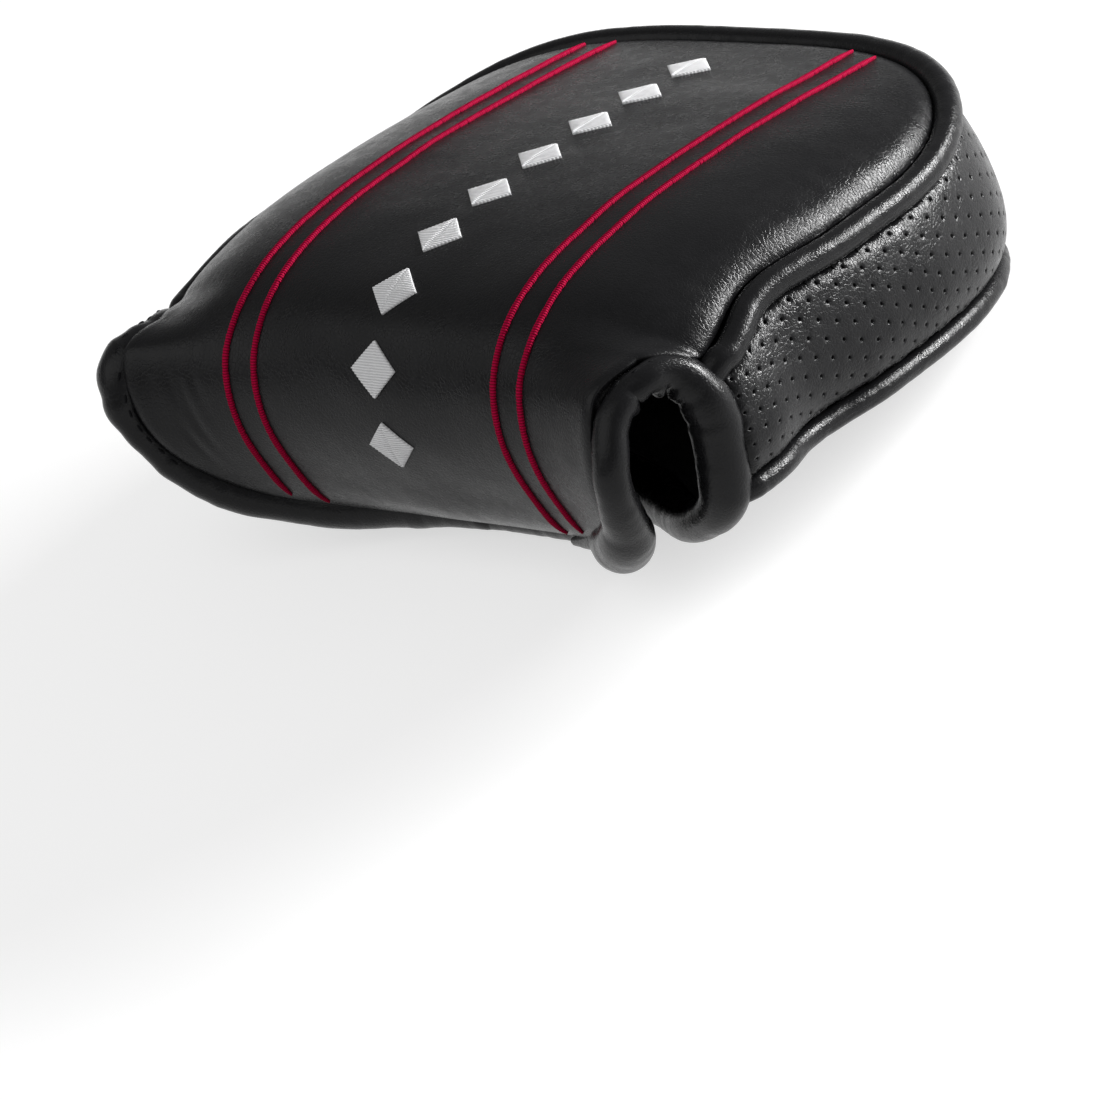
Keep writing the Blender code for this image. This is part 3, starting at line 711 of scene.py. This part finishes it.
# Lining of the top and front, on every second row and column
x, run, below, sag, grid = (values[::2, ::2] for values in (x * LINING_SHARE, run, below, sag, grid))
pile = layered(grid, PILE, seed=11)
outer, inner = skin(x, run, below + LINING_GAP) + sag, skin(x, run, below + LINING_BACK + pile) + sag
lining = layer("cover_lining", outer, inner, grid, LINING)
bends_by_run(lining)
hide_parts("top_lining", "front_lining")


# Side wall: perforated, with the holes in staggered columns
HOLE_PITCH = 0.00304
HOLE_ROWS = 7
HOLE_SEGMENTS = 4
HOLE_TURN = -60
HOLE_RINGS = ((0.00085, 0.0), (0.00036, 0.00003), (0.00027, 0.00012), (0.00024, 0.00070))
WALL_TOP, WALL_LOW, WALL_OUT = wall_edges(WALL_FRONT_Y - CUFF_OVERLAP)
WALL_LENGTH = lengths(WALL_TOP)[-1]
WALL_HEIGHT = 0.0215
WALL_STEP = 1e-4
WALL_CUFF_ROLL = 0.0020, 0.0008
WALL_PIPING_ROLL = 0.0030, 0.0013
WALL_SWELL = (0.010, 0.00016), (0.004, 0.00005)
WALL_EDGE = 0.0026
WALL_FOAM = 0.0014
WALL_FADE = 0.005
WALL_LINING_DEPTHS = 0.0043, 0.0053
WALL_LINING_SPAN = 0.014, 0.986, 420
WALL_LINING_RISE = -0.02, 1.02, 40
COLUMN_COUNT = 2 * round(WALL_LENGTH / HOLE_PITCH / 2)
HALF_COLUMNS = 2 * COLUMN_COUNT
LEVELS = HOLE_ROWS * HOLE_SEGMENTS


def wall_face(share, rise_share, depth=0.0):
    """Side wall's face at a share of its length and of its height, clear of the piping."""
    top = along(WALL_TOP, share)
    low = along(WALL_LOW, share)
    out = unit(along(WALL_OUT, share))
    height = np.linalg.norm(top - low, axis=-1)
    rise = (SEAM_INSET + rise_share * (height - 2 * SEAM_INSET)) / height
    swelling = np.where(rise < BULGE_HEIGHT, rise / BULGE_HEIGHT, (1 - rise) / (1 - BULGE_HEIGHT))
    bulge = WALL_BULGE * np.sin(swelling * pi / 2)
    points = low + (top - low) * rise[..., None] + out * bulge[..., None]
    if np.any(depth):
        ahead = wall_face(share + WALL_STEP, rise_share) - wall_face(share - WALL_STEP, rise_share)
        above = wall_face(share, rise_share + WALL_STEP) - wall_face(share, rise_share - WALL_STEP)
        points = points - unit(np.cross(ahead, above)) * np.broadcast_to(depth, share.shape)[..., None]
    return points


def wall_flat(share, rise):
    return np.stack([share * WALL_LENGTH, rise * WALL_HEIGHT], -1)


def from_ends(at, length):
    return np.minimum(at, length - at)


def wall_lattice():
    """Places of the wall's outer face in columns, levels and depth, its corners' indices, and its faces."""
    places, index, faces = [], {}, []

    def corner(a, b):
        if (a, b) not in index:
            index[a, b] = len(places)
            places.append((a / 2, b, 0.0))
        return index[a, b]

    for column in range(COLUMN_COUNT):
        left, middle, right = 2 * column, 2 * column + 1, 2 * column + 2
        shift = HOLE_SEGMENTS // 2 if column % 2 else 0
        if shift:
            for low in (0, LEVELS - shift):
                high = low + shift
                faces.append([corner(left, low), corner(middle, low), corner(middle, high), *(
                    corner(left, level) for level in range(high, low, -1))])
                faces.append([corner(middle, low), *(corner(right, level) for level in range(low, high + 1)),
                              corner(middle, high)])
        for low in range(shift, LEVELS - HOLE_SEGMENTS + 1, HOLE_SEGMENTS):
            high = low + HOLE_SEGMENTS
            ring = [*(corner(right, level) for level in range(low, high + 1)), corner(middle, high),
                    *(corner(left, level) for level in range(high, low - 1, -1)), corner(middle, low)]
            for radius, depth in HOLE_RINGS:
                inner = list(range(len(places), len(places) + len(ring)))
                for k in range(len(ring)):
                    angle = radians(HOLE_TURN + 360 / len(ring) * k)
                    aside = radius * cos(angle) / HOLE_PITCH
                    above = radius * sin(angle) / WALL_HEIGHT * LEVELS
                    places.append((column + 0.5 + aside, low + HOLE_SEGMENTS / 2 + above, depth))
                    after = (k + 1) % len(ring)
                    faces.append([ring[k], ring[after], inner[after], inner[k]])
                ring = inner
            faces.append(ring)
    return np.array(places), index, faces


places, index, faces = wall_lattice()
share = places[:, 0] / COLUMN_COUNT
rise = places[:, 1] / LEVELS
flat = wall_flat(share, rise)
from_cuff = from_ends(flat[:, 0], WALL_LENGTH)
from_piping = from_ends(flat[:, 1], WALL_HEIGHT)
depth = np.maximum(rolled(from_cuff, *WALL_CUFF_ROLL), rolled(from_piping, *WALL_PIPING_ROLL))
swell = layered(flat, WALL_SWELL, seed=21)
depth = depth - swell * smooth(np.minimum(from_cuff, from_piping) / SWELL_FADE)
outer = wall_face(share, rise, depth + places[:, 2])
inner_a, inner_b = np.meshgrid(np.arange(HALF_COLUMNS + 1), np.arange(LEVELS + 1))
inner_share = inner_a / HALF_COLUMNS
inner_rise = inner_b / LEVELS
from_edge = np.minimum(from_ends(inner_share, 1) * WALL_LENGTH, from_ends(inner_rise, 1) * WALL_HEIGHT)
inner = wall_face(inner_share, inner_rise, WALL_EDGE + WALL_FOAM * smooth(from_edge / WALL_FADE))
inner_index = len(places) + np.arange(inner_a.size).reshape(inner_a.shape)
faces += (quads(*inner_a.shape) + len(places))[:, ::-1].tolist()
rim = [(a, 0) for a in range(HALF_COLUMNS)] + [(HALF_COLUMNS, b) for b in range(LEVELS)]
rim += [(a, LEVELS) for a in range(HALF_COLUMNS, 0, -1)] + [(0, b) for b in range(LEVELS, 0, -1)]
for here, there in zip(rim, rim[1:] + rim[:1]):
    faces.append([index[here], inner_index[here[::-1]], inner_index[there[::-1]], index[there]])
cloth = np.concatenate([flat, wall_flat(inner_share, inner_rise).reshape(-1, 2)])
points = np.concatenate([outer, inner.reshape(-1, 3)])
wall = piece("side_wall", points, faces, cloth, WALL)
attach(wall, "root")
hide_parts("side_panel", "side_foam")

share, rise = np.meshgrid(np.linspace(*WALL_LINING_SPAN), np.linspace(*WALL_LINING_RISE))
flat = wall_flat(share, rise)
near, far = WALL_LINING_DEPTHS
far = far + layered(flat, PILE, seed=31)
outer, inner = wall_face(share, rise, near), wall_face(share, rise, far)
wall_lining = layer("side_wall_lining", outer, inner, flat, LINING)
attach(wall_lining, "root")
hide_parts("side_lining")


# Piping: each roll's edge, radius and sink, and how far its tails turn in and dive under the cuff
PIPING_RINGS = 700
ROLL_SIDES = 24
ROLL_END = 0.02
PIPINGS = {"upper": (UPPER_EDGE, 0.0023, 0.0004, 0.0014, 0.0034),
           "lower": (LOWER_EDGE, 0.0019, -0.0003, 0.0030, 0.0)}
TAIL_POINTS = 60
TAIL_AIM = 25
TAIL_LENGTH = 0.0050
TAIL_BEND = 1.5
ROLL_SWELL = (0.006, 0.00007), ((0.0016, 0.006), 0.00004)
APART = 1e-6


def round_angles(sides):
    return np.linspace(0, 2 * pi, sides, endpoint=False)


def capped(rings, sides):
    """Faces of a roll of rings of points, closed at both ends."""
    ends = [list(range(sides)), list(range((rings - 1) * sides, rings * sides))]
    return quads(rings, sides, True).tolist() + ends


def across_roll(ahead, inward):
    """Directions across a roll: towards the given side, and square to both."""
    inward = unit(inward - ahead * (inward * ahead).sum(-1, keepdims=True))
    return inward, np.cross(inward, ahead)


def around_roll(inward, square, angle):
    return inward[:, None] * np.cos(angle)[None, :, None] + square[:, None] * np.sin(angle)[None, :, None]


def open_roll(name, path, side, radius, rings):
    """Closed roll along a path, with its radius at even steps, and rounded ends."""
    share = shares(rings)
    middle = along(path, share)
    length = lengths(middle)
    radius = np.interp(share, shares(len(radius)), radius)[:, None]
    cap = np.sqrt(np.clip(from_ends(length, length[-1])[:, None] / radius, ROLL_END, 1))
    angle = round_angles(ROLL_SIDES)
    around = around_roll(*across_roll(unit(np.gradient(middle, axis=0)), side), angle)
    flat = np.stack(np.broadcast_arrays(length[:, None], angle[None] * radius), -1)
    size = (radius + layered(flat, ROLL_SWELL, seed=41)) * cap
    ring = middle[:, None] + size[..., None] * around
    return piece(name, ring, capped(rings, ROLL_SIDES), flat, ROLL)


def tailed(path, inward, dive):
    """Path that runs on at both ends and bends in and down under the cuff."""
    share = np.linspace(1, 0, TAIL_POINTS, endpoint=False)[:, None]
    tails = []
    for end, before in ((path[0], path[TAIL_AIM]), (path[-1], path[-1 - TAIL_AIM])):
        points = end + unit(end - before) * TAIL_LENGTH * share
        points -= np.array((copysign(inward, end[0]), 0.0, dive)) * share ** TAIL_BEND
        tails.append(points)
    return np.concatenate([tails[0], path, tails[1][::-1]])


piping_out = np.pad(WALL_NORMAL, ((TAIL_POINTS, TAIL_POINTS), (0, 0)), mode="edge")
piping_out = piping_out + np.linspace(0, APART, len(piping_out))[:, None]
piping_out = along(piping_out, shares(PIPING_RINGS))
for name, (edge, radius, sink, inward, dive) in PIPINGS.items():
    made = open_roll(f"{name}_piping_roll", tailed(edge - (0.0, 0.0, sink), inward, dive), piping_out,
                     (radius, radius), PIPING_RINGS)
    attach(made, "root")
    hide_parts(f"{name}_piping")

# Cuff: one padded roll round the mouth, set by tables of lengths from the lip's middle or ahead of the arch
CUFF_RINGS = 720
CUFF_SIDES = 44
LIP_TUCK = ((-90, 0.0), (-30, 0.0), (-16, 0.8), (24, 0.8), (40, 0.24), (46, 0.0), (90, 0.0))
NUB_TUCK = ((-100, 0.0), (-70, 0.0), (-50, 0.8), (-38, 0.8), (-24, 0.0), (0, 0.0))
NUB_RISE = 1.5
ARCH_SAGS = {1: 0.0012, -1: 0.0024}
ARCH_REACH = 0.007
TOE_LEAN = ((0, 0.0), (5, 2.0), (10, 2.8), (22, 2.8), (34, 2.2), (46, 2.6), (54, 2.0), (66, 0.0), (99, 0.0))
TOE_THICKNESS = (
    (0, 2.6), (5, 2.5), (10, 2.7), (20, 2.9), (28, 3.5), (36, 4.4), (44, 4.8), (50, 4.4), (56, 3.7),
    (64, 3.2), (99, 3.2))
HEEL_THICKNESS = (
    (-99, 2.6), (0, 2.6), (4, 3.5), (7, 4.4), (10, 4.2), (15, 3.2), (20, 2.5), (24, 2.5), (30, 3.0),
    (46, 3.8), (60, 4.3), (70, 4.1), (80, 3.4), (86, 3.2), (99, 3.2))
HEEL_LIP_SAG = ((-99, 0.0), (44, 0.0), (58, 0.7), (70, 0.7), (82, 0.0), (99, 0.0))
HEEL_PULL = 0.9
HEEL_PULL_REACH = 0.008
HOLE_MIDDLE = np.array((0.0520, -0.0230, -0.0280))
CUFF_SWELL = 0.009, 0.00016
RIDGE_CELL = 0.0016, 0.010
RIDGE = 0.00006
PUCKER = 0.00090
PUCKER_REACH = 0.010
JOINT_FADE = 0.004
CUFF_BEND_LENGTH = 0.012
half_length = lengths(cuff_half[:, :3])
arch_index = int(np.argmin(np.linalg.norm(cuff_half[:, :3] - ARCH_TOP, axis=1)))
arch_length = half_length[arch_index]


def settled(half, sign):
    """One side of the cuff, sign 1 at the toe: its lip tucks under, its arch sags, its leg is uneven."""
    half = np.array(half)
    ahead = arch_length - half_length
    front = ahead >= 0
    tuck = from_table(sign * half_length, LIP_TUCK) * front
    nub = from_table(ahead, NUB_TUCK) * ~front
    half[:, 2] += tuck + NUB_RISE * nub - ARCH_SAGS[sign] * np.exp(-(ahead / ARCH_REACH) ** 2)
    half[:, 6] -= tuck + nub
    if sign > 0:
        thick = from_table(ahead, TOE_THICKNESS)
        half[:, :6:3] -= (from_table(ahead, TOE_LEAN) * front)[:, None]
    else:
        thick = from_table(ahead, HEEL_THICKNESS)
        pull = (CUFF_RADIUS - thick) * HEEL_PULL * smooth(ahead / HEEL_PULL_REACH) * front
        half[:, :3] += unit(half[:, 3:6] - half[:, :3]) * pull[:, None]
        half[:, 2] -= from_table(ahead, HEEL_LIP_SAG)
    half[:, 6] = np.where(front, thick, half[:, 6])
    return half


closed = np.concatenate([settled(cuff_half, 1), mirrored(settled(cuff_half, -1))[-2::-1]])
closed_length = lengths(closed[:, :3])
share = np.linspace(0, 1, CUFF_RINGS, endpoint=False)
loop_length = share * closed_length[-1]
at = along(closed, share)
middle, seam, radius = at[:, :3], at[:, 3:6], at[:, 6]
ahead = unit(np.roll(middle, -1, axis=0) - np.roll(middle, 1, axis=0))
inward, square = across_roll(ahead, seam - middle)
angle = round_angles(CUFF_SIDES)
around = around_roll(inward, square, angle)
flat = np.stack(np.broadcast_arrays(loop_length[:, None], angle[None] * CUFF_RADIUS), -1)
from_arch = np.minimum(*(np.linalg.norm(middle - ARCH_TOP * (side, 1, 1), axis=1) for side in (1, -1)))
to_hole = unit(HOLE_MIDDLE * np.stack([np.sign(middle[:, 0]), *np.ones((2, CUFF_RINGS))], -1) - middle)
inner_side = np.clip((around * to_hole[:, None]).sum(-1), 0, 1) ** 2
ridges = RIDGE + PUCKER * np.exp(-(from_arch / PUCKER_REACH) ** 2)[:, None] * inner_side
uneven = layered(flat, (CUFF_SWELL, (RIDGE_CELL, ridges)), seed=51)
size = radius[:, None] + uneven * smooth(from_ends(loop_length, closed_length[-1]) / JOINT_FADE)[:, None]
ring = middle[:, None] + size[..., None] * around
ring[..., 2] = np.maximum(ring[..., 2], FLOOR_Z + (ring[..., 1] - REAR_LIP_Y) * FLOOR_SLOPE)
index = np.arange(CUFF_RINGS * CUFF_SIDES).reshape(CUFF_RINGS, CUFF_SIDES)
after = np.roll(index, -1, axis=0)
faces = np.stack([index, np.roll(index, -1, 1), np.roll(after, -1, 1), after], -1).reshape(-1, 4)
cuff = piece("mouth_cuff", ring, faces.tolist(), flat, ROLL)
half_weight = smooth((arch_length - half_length) / CUFF_BEND_LENGTH + 0.5)
cuff_weight = np.interp(loop_length, closed_length, np.concatenate([half_weight, half_weight[-2::-1]]))
bends(cuff)
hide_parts("front_cuff", "rear_cuff", *(
    f"{end}_cuff_foam_{side}" for end in ("front", "rear") for side in ("toe", "middle", "heel")))

# The binding's end, folded under the lip beside the toe's leg
FOLD_PATH = ((0.0330, -0.0195, -0.0420), (0.0290, -0.0178, -0.0440), (0.0250, -0.0164, -0.0454),
             (0.0218, -0.0154, -0.0463))
FOLD_RADII = 0.0020, 0.0018, 0.0012, 0.0005
FOLD_SIDE = np.array((0.0, -0.7, -0.7))
FOLD_RINGS = 60
path = natural_spline(FOLD_PATH)
fold = open_roll("cuff_end_fold", path, FOLD_SIDE, FOLD_RADII, FOLD_RINGS)
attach(fold, "front_flap")

# Bottom panel and its lining
BOTTOM_COLUMNS = 130
BOTTOM_ROWS = 110
BOTTOM_CORNER = 0.6
BOTTOM_CROWDING = 0.8
BOTTOM_ROLL = 0.0035, 0.0014
BOTTOM_LIP_KNOTS = 7
RIM_POINTS = 300


def bottom_grid():
    """Grid of points over the bottom panel, and the points of its rim."""
    half = len(LOWER_EDGE) // 2 + 1
    edge = LOWER_EDGE[:half] - WALL_NORMAL[:half] * SEAM_INSET
    edge[-1, 0] = 0.0
    side, back = at_corner(edge, BOTTOM_CORNER)
    other_side = mirrored(side)
    rear = both_sides(cuff_half[arch_index:])
    lip = rear[np.abs(rear[:, 3]) <= NUB_X, 3:6] + (0.0, GAP, 0.0)
    lip = along(lip, shares(BOTTOM_LIP_KNOTS))
    lip = natural_spline(np.concatenate([side[:1], lip, other_side[:1]]))
    u = crowded(shares(BOTTOM_COLUMNS), BOTTOM_CROWDING, BOTTOM_CROWDING)
    v = crowded(shares(BOTTOM_ROWS), BOTTOM_CROWDING, BOTTOM_CROWDING)
    rim = [along(path, shares(RIM_POINTS)) for path in (side, other_side, back, lip)]
    return coons(*np.meshgrid(u, v), back, side[::-1], lip[::-1]), np.concatenate(rim)


face, rim = bottom_grid()
flat = face[..., :2]
from_edge = distance_to(rim, face)
swell = layered(flat, SWELL, seed=61)
lift = rolled(from_edge, *BOTTOM_ROLL) - swell * smooth(from_edge / SWELL_FADE)
pile = layered(flat, PILE, seed=63)
upward = np.array((0.0, 0.0, 1.0))
outer = face + lift[..., None] * upward
inner = outer + padding(from_edge)[..., None] * upward
bottom = layer("bottom_pad", outer, inner, flat, PANEL)
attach(bottom, "root")
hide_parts("bottom_panel", "bottom_foam")
outer, inner = inner + LINING_GAP * upward, inner + (LINING_BACK + pile)[..., None] * upward
bottom_lining = layer("bottom_pad_lining", outer, inner, flat, LINING)
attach(bottom_lining, "root")
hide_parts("bottom_lining")

# Embroidery
SATIN_PITCH = 0.00042
SATIN_STEPS = 4
SATIN_DEPTH = 0.0004
STRIPE_LINES = 9
STRIPE_TAPER = 0.004
STRIPE_END = 0.03
STRIPE_FILL = 0.40
STRIPE_SLANT = 0.35
STRIPE_RAGGED = 0.14
STRIPE_FULLNESS = 0.94
STRAND_CELL = SATIN_PITCH / 0.9
STRAND_ROW = 5.0
STRIPE_EDGE, STRIPE_DOME, STRIPE_RIDGE = 0.00022, 0.00030, 0.00016
DIAMOND_LINES = 17
DIAMOND_TIP = 0.985
DIAMOND_EDGE, DIAMOND_DOME, DIAMOND_RIDGE = 0.00020, 0.00030, 0.00012
DIAMOND_FULLNESS = 0.96
DIAMOND_FOLD = 0.55
DIAMOND_FOLD_WIDTH = 0.00025


def embroidered(name, x, run, height, material, cloth):
    """Raised stitching: a grid on the padded skin with a height at each point, closed underneath."""
    below = -layered(np.stack([x, run], -1), SWELL, PANEL_SEED)
    made = layer(name, skin(x, run, below - height), skin(x, run, below + SATIN_DEPTH), cloth, material)
    bends_by_run(made)
    return made


def satin_ridge(at):
    return 0.5 + 0.5 * np.cos(2 * pi * at / SATIN_PITCH)


def satin_dome(across, fullness):
    return np.sqrt(np.clip(1 - across ** 2 * fullness, 0, 1))


top_line = outline(SEAM_INSET)[SAMPLES // 2:][::-1]
front_line = tongue()[::-1]
for row, middle_x in STRIPE_X.items():
    back_end = run_of_y(np.interp(middle_x, top_line[:, 0], top_line[:, 1]) - STRIPE_MARGIN)
    front_end = np.interp(middle_x, front_line[:, 0], front_line[:, 1]) - STRIPE_MARGIN
    runs = np.linspace(back_end, front_end, int((front_end - back_end) / SATIN_PITCH * SATIN_STEPS))
    run_grid, across_grid = np.meshgrid(runs, np.linspace(-1, 1, STRIPE_LINES), indexing="ij")
    end_taper = np.sqrt(np.clip(np.minimum(runs - back_end, front_end - runs) / STRIPE_TAPER, STRIPE_END, 1))
    ridge = satin_ridge(run_grid + across_grid * SATIN_PITCH * STRIPE_SLANT)
    dome = satin_dome(across_grid, STRIPE_FULLNESS)
    height = (STRIPE_EDGE + STRIPE_DOME * dome * end_taper[:, None]) + STRIPE_RIDGE * ridge * dome
    cloth = np.stack([across_grid * STRIPE_WIDTH / 2, run_grid], -1)
    for side, sign in (("toe", 1), ("heel", -1)):
        strands = np.stack([runs / STRAND_CELL, np.full(len(runs), STRAND_ROW * sign)], -1)
        half = STRIPE_WIDTH * STRIPE_FILL * end_taper * (1 + STRIPE_RAGGED * hash_noise(strands, seed=71))
        x = sign * middle_x + across_grid * half[:, None]
        made = embroidered(f"stripe_{side}_{row}", x, run_grid, height, RED, cloth)
        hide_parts(f"top_stripe_{side}_{row}", f"front_stripe_{side}_{row}")

rows = np.linspace(-DIAMOND_TIP, DIAMOND_TIP, int(DIAMOND_SIZE / SATIN_PITCH * SATIN_STEPS))
along_it, across_it = np.meshgrid(rows, np.linspace(-1, 1, DIAMOND_LINES), indexing="ij")
place_x = across_it * (DIAMOND_SIZE / 2 * (1 - np.abs(along_it)))
ridge = satin_ridge(along_it * DIAMOND_SIZE / 2)
middle_fold = 1 - DIAMOND_FOLD * np.exp(-(place_x / DIAMOND_FOLD_WIDTH) ** 2)
dome = satin_dome(across_it, DIAMOND_FULLNESS)
height = DIAMOND_EDGE + (DIAMOND_DOME * dome + DIAMOND_RIDGE * ridge) * middle_fold
for end, sign, count in (("top", -1, DIAMONDS_ON_TOP), ("front", 1, DIAMONDS_ON_FLAP)):
    for i in range(count):
        name = f"{end}_diamond_{i + 1}"
        place_run = sign * (i + 0.5) * DIAMOND_PITCH + along_it * DIAMOND_SIZE / 2
        cloth = np.stack([place_x, place_run], -1)
        made = embroidered(f"{name}_stitching", place_x, place_run, height, WHITE, cloth)
        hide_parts(name)

# Seam stitches between the cuff and the panels
STITCHED_DOWN_TO = -0.0340
STITCH_PITCH = 0.0027
STITCH_LENGTH = 0.0020
STITCH_RADIUS = 0.00026
STITCH_SINK = 0.45
STITCH_DIVE = 0.6
STITCH_SIDES = 8
STITCH_RINGS = 9
STITCH_ANGLE = 48
stitch_side = round(CUFF_SIDES * (1 - STITCH_ANGLE / 360))
stitch_turn = radians(STITCH_ANGLE)
count = int(closed_length[-1] / STITCH_PITCH)
round_it, along_it = np.meshgrid(round_angles(STITCH_SIDES), np.linspace(-1, 1, STITCH_RINGS))
bow = np.sqrt(np.clip(1 - along_it ** 2, ROLL_END, 1))
rise = (np.cos(round_it) * bow + STITCH_DIVE * (bow - 1)) * STITCH_RADIUS
aside = np.sin(round_it) * bow * STITCH_RADIUS
stitch = capped(STITCH_RINGS, STITCH_SIDES)
points, faces, cloth, weights = [], [], [], []
for k in range(count):
    i = int((k + 0.5) / count * CUFF_RINGS)
    if middle[i, 2] < STITCHED_DOWN_TO:
        continue
    outside = unit(inward[i] * cos(stitch_turn) - square[i] * sin(stitch_turn))
    base = middle[i] + outside * (size[i, stitch_side] - STITCH_RADIUS * STITCH_SINK)
    beside = np.cross(outside, ahead[i])
    start = len(points) * round_it.size
    faces += [[start + corner for corner in corners] for corners in stitch]
    points.append(base + ahead[i] * along_it[..., None] * STITCH_LENGTH / 2 + outside * rise[..., None]
                  + beside * aside[..., None])
    cloth.append(np.stack([round_it * STITCH_RADIUS, k * STITCH_PITCH + along_it * STITCH_LENGTH / 2], -1))
    weights.append(np.full(round_it.size, cuff_weight[i]))
stitches = piece("cuff_seam_stitches", np.array(points), faces, np.array(cloth), BLACK)
bends(stitches)

for name in ("front_magnet_toe", "front_magnet_heel", "rear_magnet_toe", "rear_magnet_heel"):
    frame["nodes"][name].data.materials.clear()
    frame["nodes"][name].data.materials.append(NICKEL)

# Floor, light and camera
FLOOR_COLOUR = 0.50, 0.50, 0.50
FLOOR_LIFT = 0.62
FLOOR_REACH = 30
HORIZON = 0.0, 0.14
SKY = 0.8, 0.24
LAMP_TARGET = 0.0, 0.0, 0.03
PHOTO_SIZE = 1100
FOCAL_PIXELS = 5000
SENSOR = 36.0
AZIMUTH = radians(45.0)
ELEVATION = radians(24.0)
ROLL_ANGLE = radians(14.538)
ORIGIN_PIXEL = 458.223, 217.642
DISTANCE = 0.776

floor_mesh = bpy.data.meshes.new("floor")
floor_corners = [(x * FLOOR_REACH, y * FLOOR_REACH, 0) for x, y in ((-1, -1), (1, -1), (1, 1), (-1, 1))]
floor_mesh.from_pydata(floor_corners, [], [(0, 1, 2, 3)])
floor = placed("floor", floor_mesh)
floor_material, tree = blank("floor")
tree.nodes.remove(tree.nodes["Principled BSDF"])
matte = node(tree, "ShaderNodeBsdfDiffuse", Color=(*FLOOR_COLOUR, 1.0))
lift = node(tree, "ShaderNodeMath", operation="MULTIPLY", Value=seen(tree))
lift.inputs[1].default_value = FLOOR_LIFT
glow = node(tree, "ShaderNodeEmission", Strength=lift.outputs[0])
lit = paired(tree, "ShaderNodeAddShader", matte.outputs[0], glow.outputs[0])
tree.links.new(lit, tree.nodes["Material Output"].inputs["Surface"])
floor_mesh.materials.append(floor_material)

scene.world = bpy.data.worlds.new("studio")
scene.world.use_nodes = True
tree = scene.world.node_tree
direction = node(tree, "ShaderNodeTexCoord").outputs["Generated"]
height = node(tree, "ShaderNodeSeparateXYZ", Vector=direction).outputs["Z"]
fed(tree, tree.nodes["Background"], Color=(1.0, 1.0, 1.0, 1.0), Strength=ramp(tree, height, *HORIZON, *SKY))


def softbox(name, toward, upward, away, size, power):
    """Soft lamp over the cover in a direction of the sewing frame, with its height along another."""
    lamp = bpy.data.lights.new(name, "AREA")
    lamp.shape = "RECTANGLE"
    lamp.size, lamp.size_y = size
    lamp.energy = power
    back = TURN @ unit(np.array(toward, float))
    up = TURN @ np.array(upward, float)
    up = unit(up - back * (up @ back))
    placed(name, lamp, np.stack([np.cross(up, back), up, back], 1), back * away + LAMP_TARGET)


softbox("key", (0.50, 0.72, 0.42), (0.52, -0.13, -0.35), away=0.9, size=(0.10, 0.50), power=15.5)
softbox("fill", (-0.15, -0.75, 0.6), (0.0, 1.0, 0.0), away=1.2, size=(1.6, 1.2), power=6.0)

back = np.array((sin(AZIMUTH), -cos(AZIMUTH), 0.0)) * cos(ELEVATION)
back[2] = sin(ELEVATION)
right = np.array((cos(AZIMUTH), sin(AZIMUTH), 0.0))
up = np.cross(back, right)
axes = np.stack([right * cos(ROLL_ANGLE) - up * sin(ROLL_ANGLE),
                 right * sin(ROLL_ANGLE) + up * cos(ROLL_ANGLE), back])
shift_x, shift_y = ((pixel - PHOTO_SIZE / 2) / FOCAL_PIXELS * DISTANCE for pixel in ORIGIN_PIXEL)
eye = world(-axes.T @ np.array((shift_x, -shift_y, -DISTANCE)))
camera_data = bpy.data.cameras.new("camera")
camera_data.sensor_width = SENSOR
camera_data.lens = FOCAL_PIXELS / PHOTO_SIZE * SENSOR
scene.camera = placed("camera", camera_data, TURN @ axes.T, eye)
scene.view_settings.view_transform = "Standard"
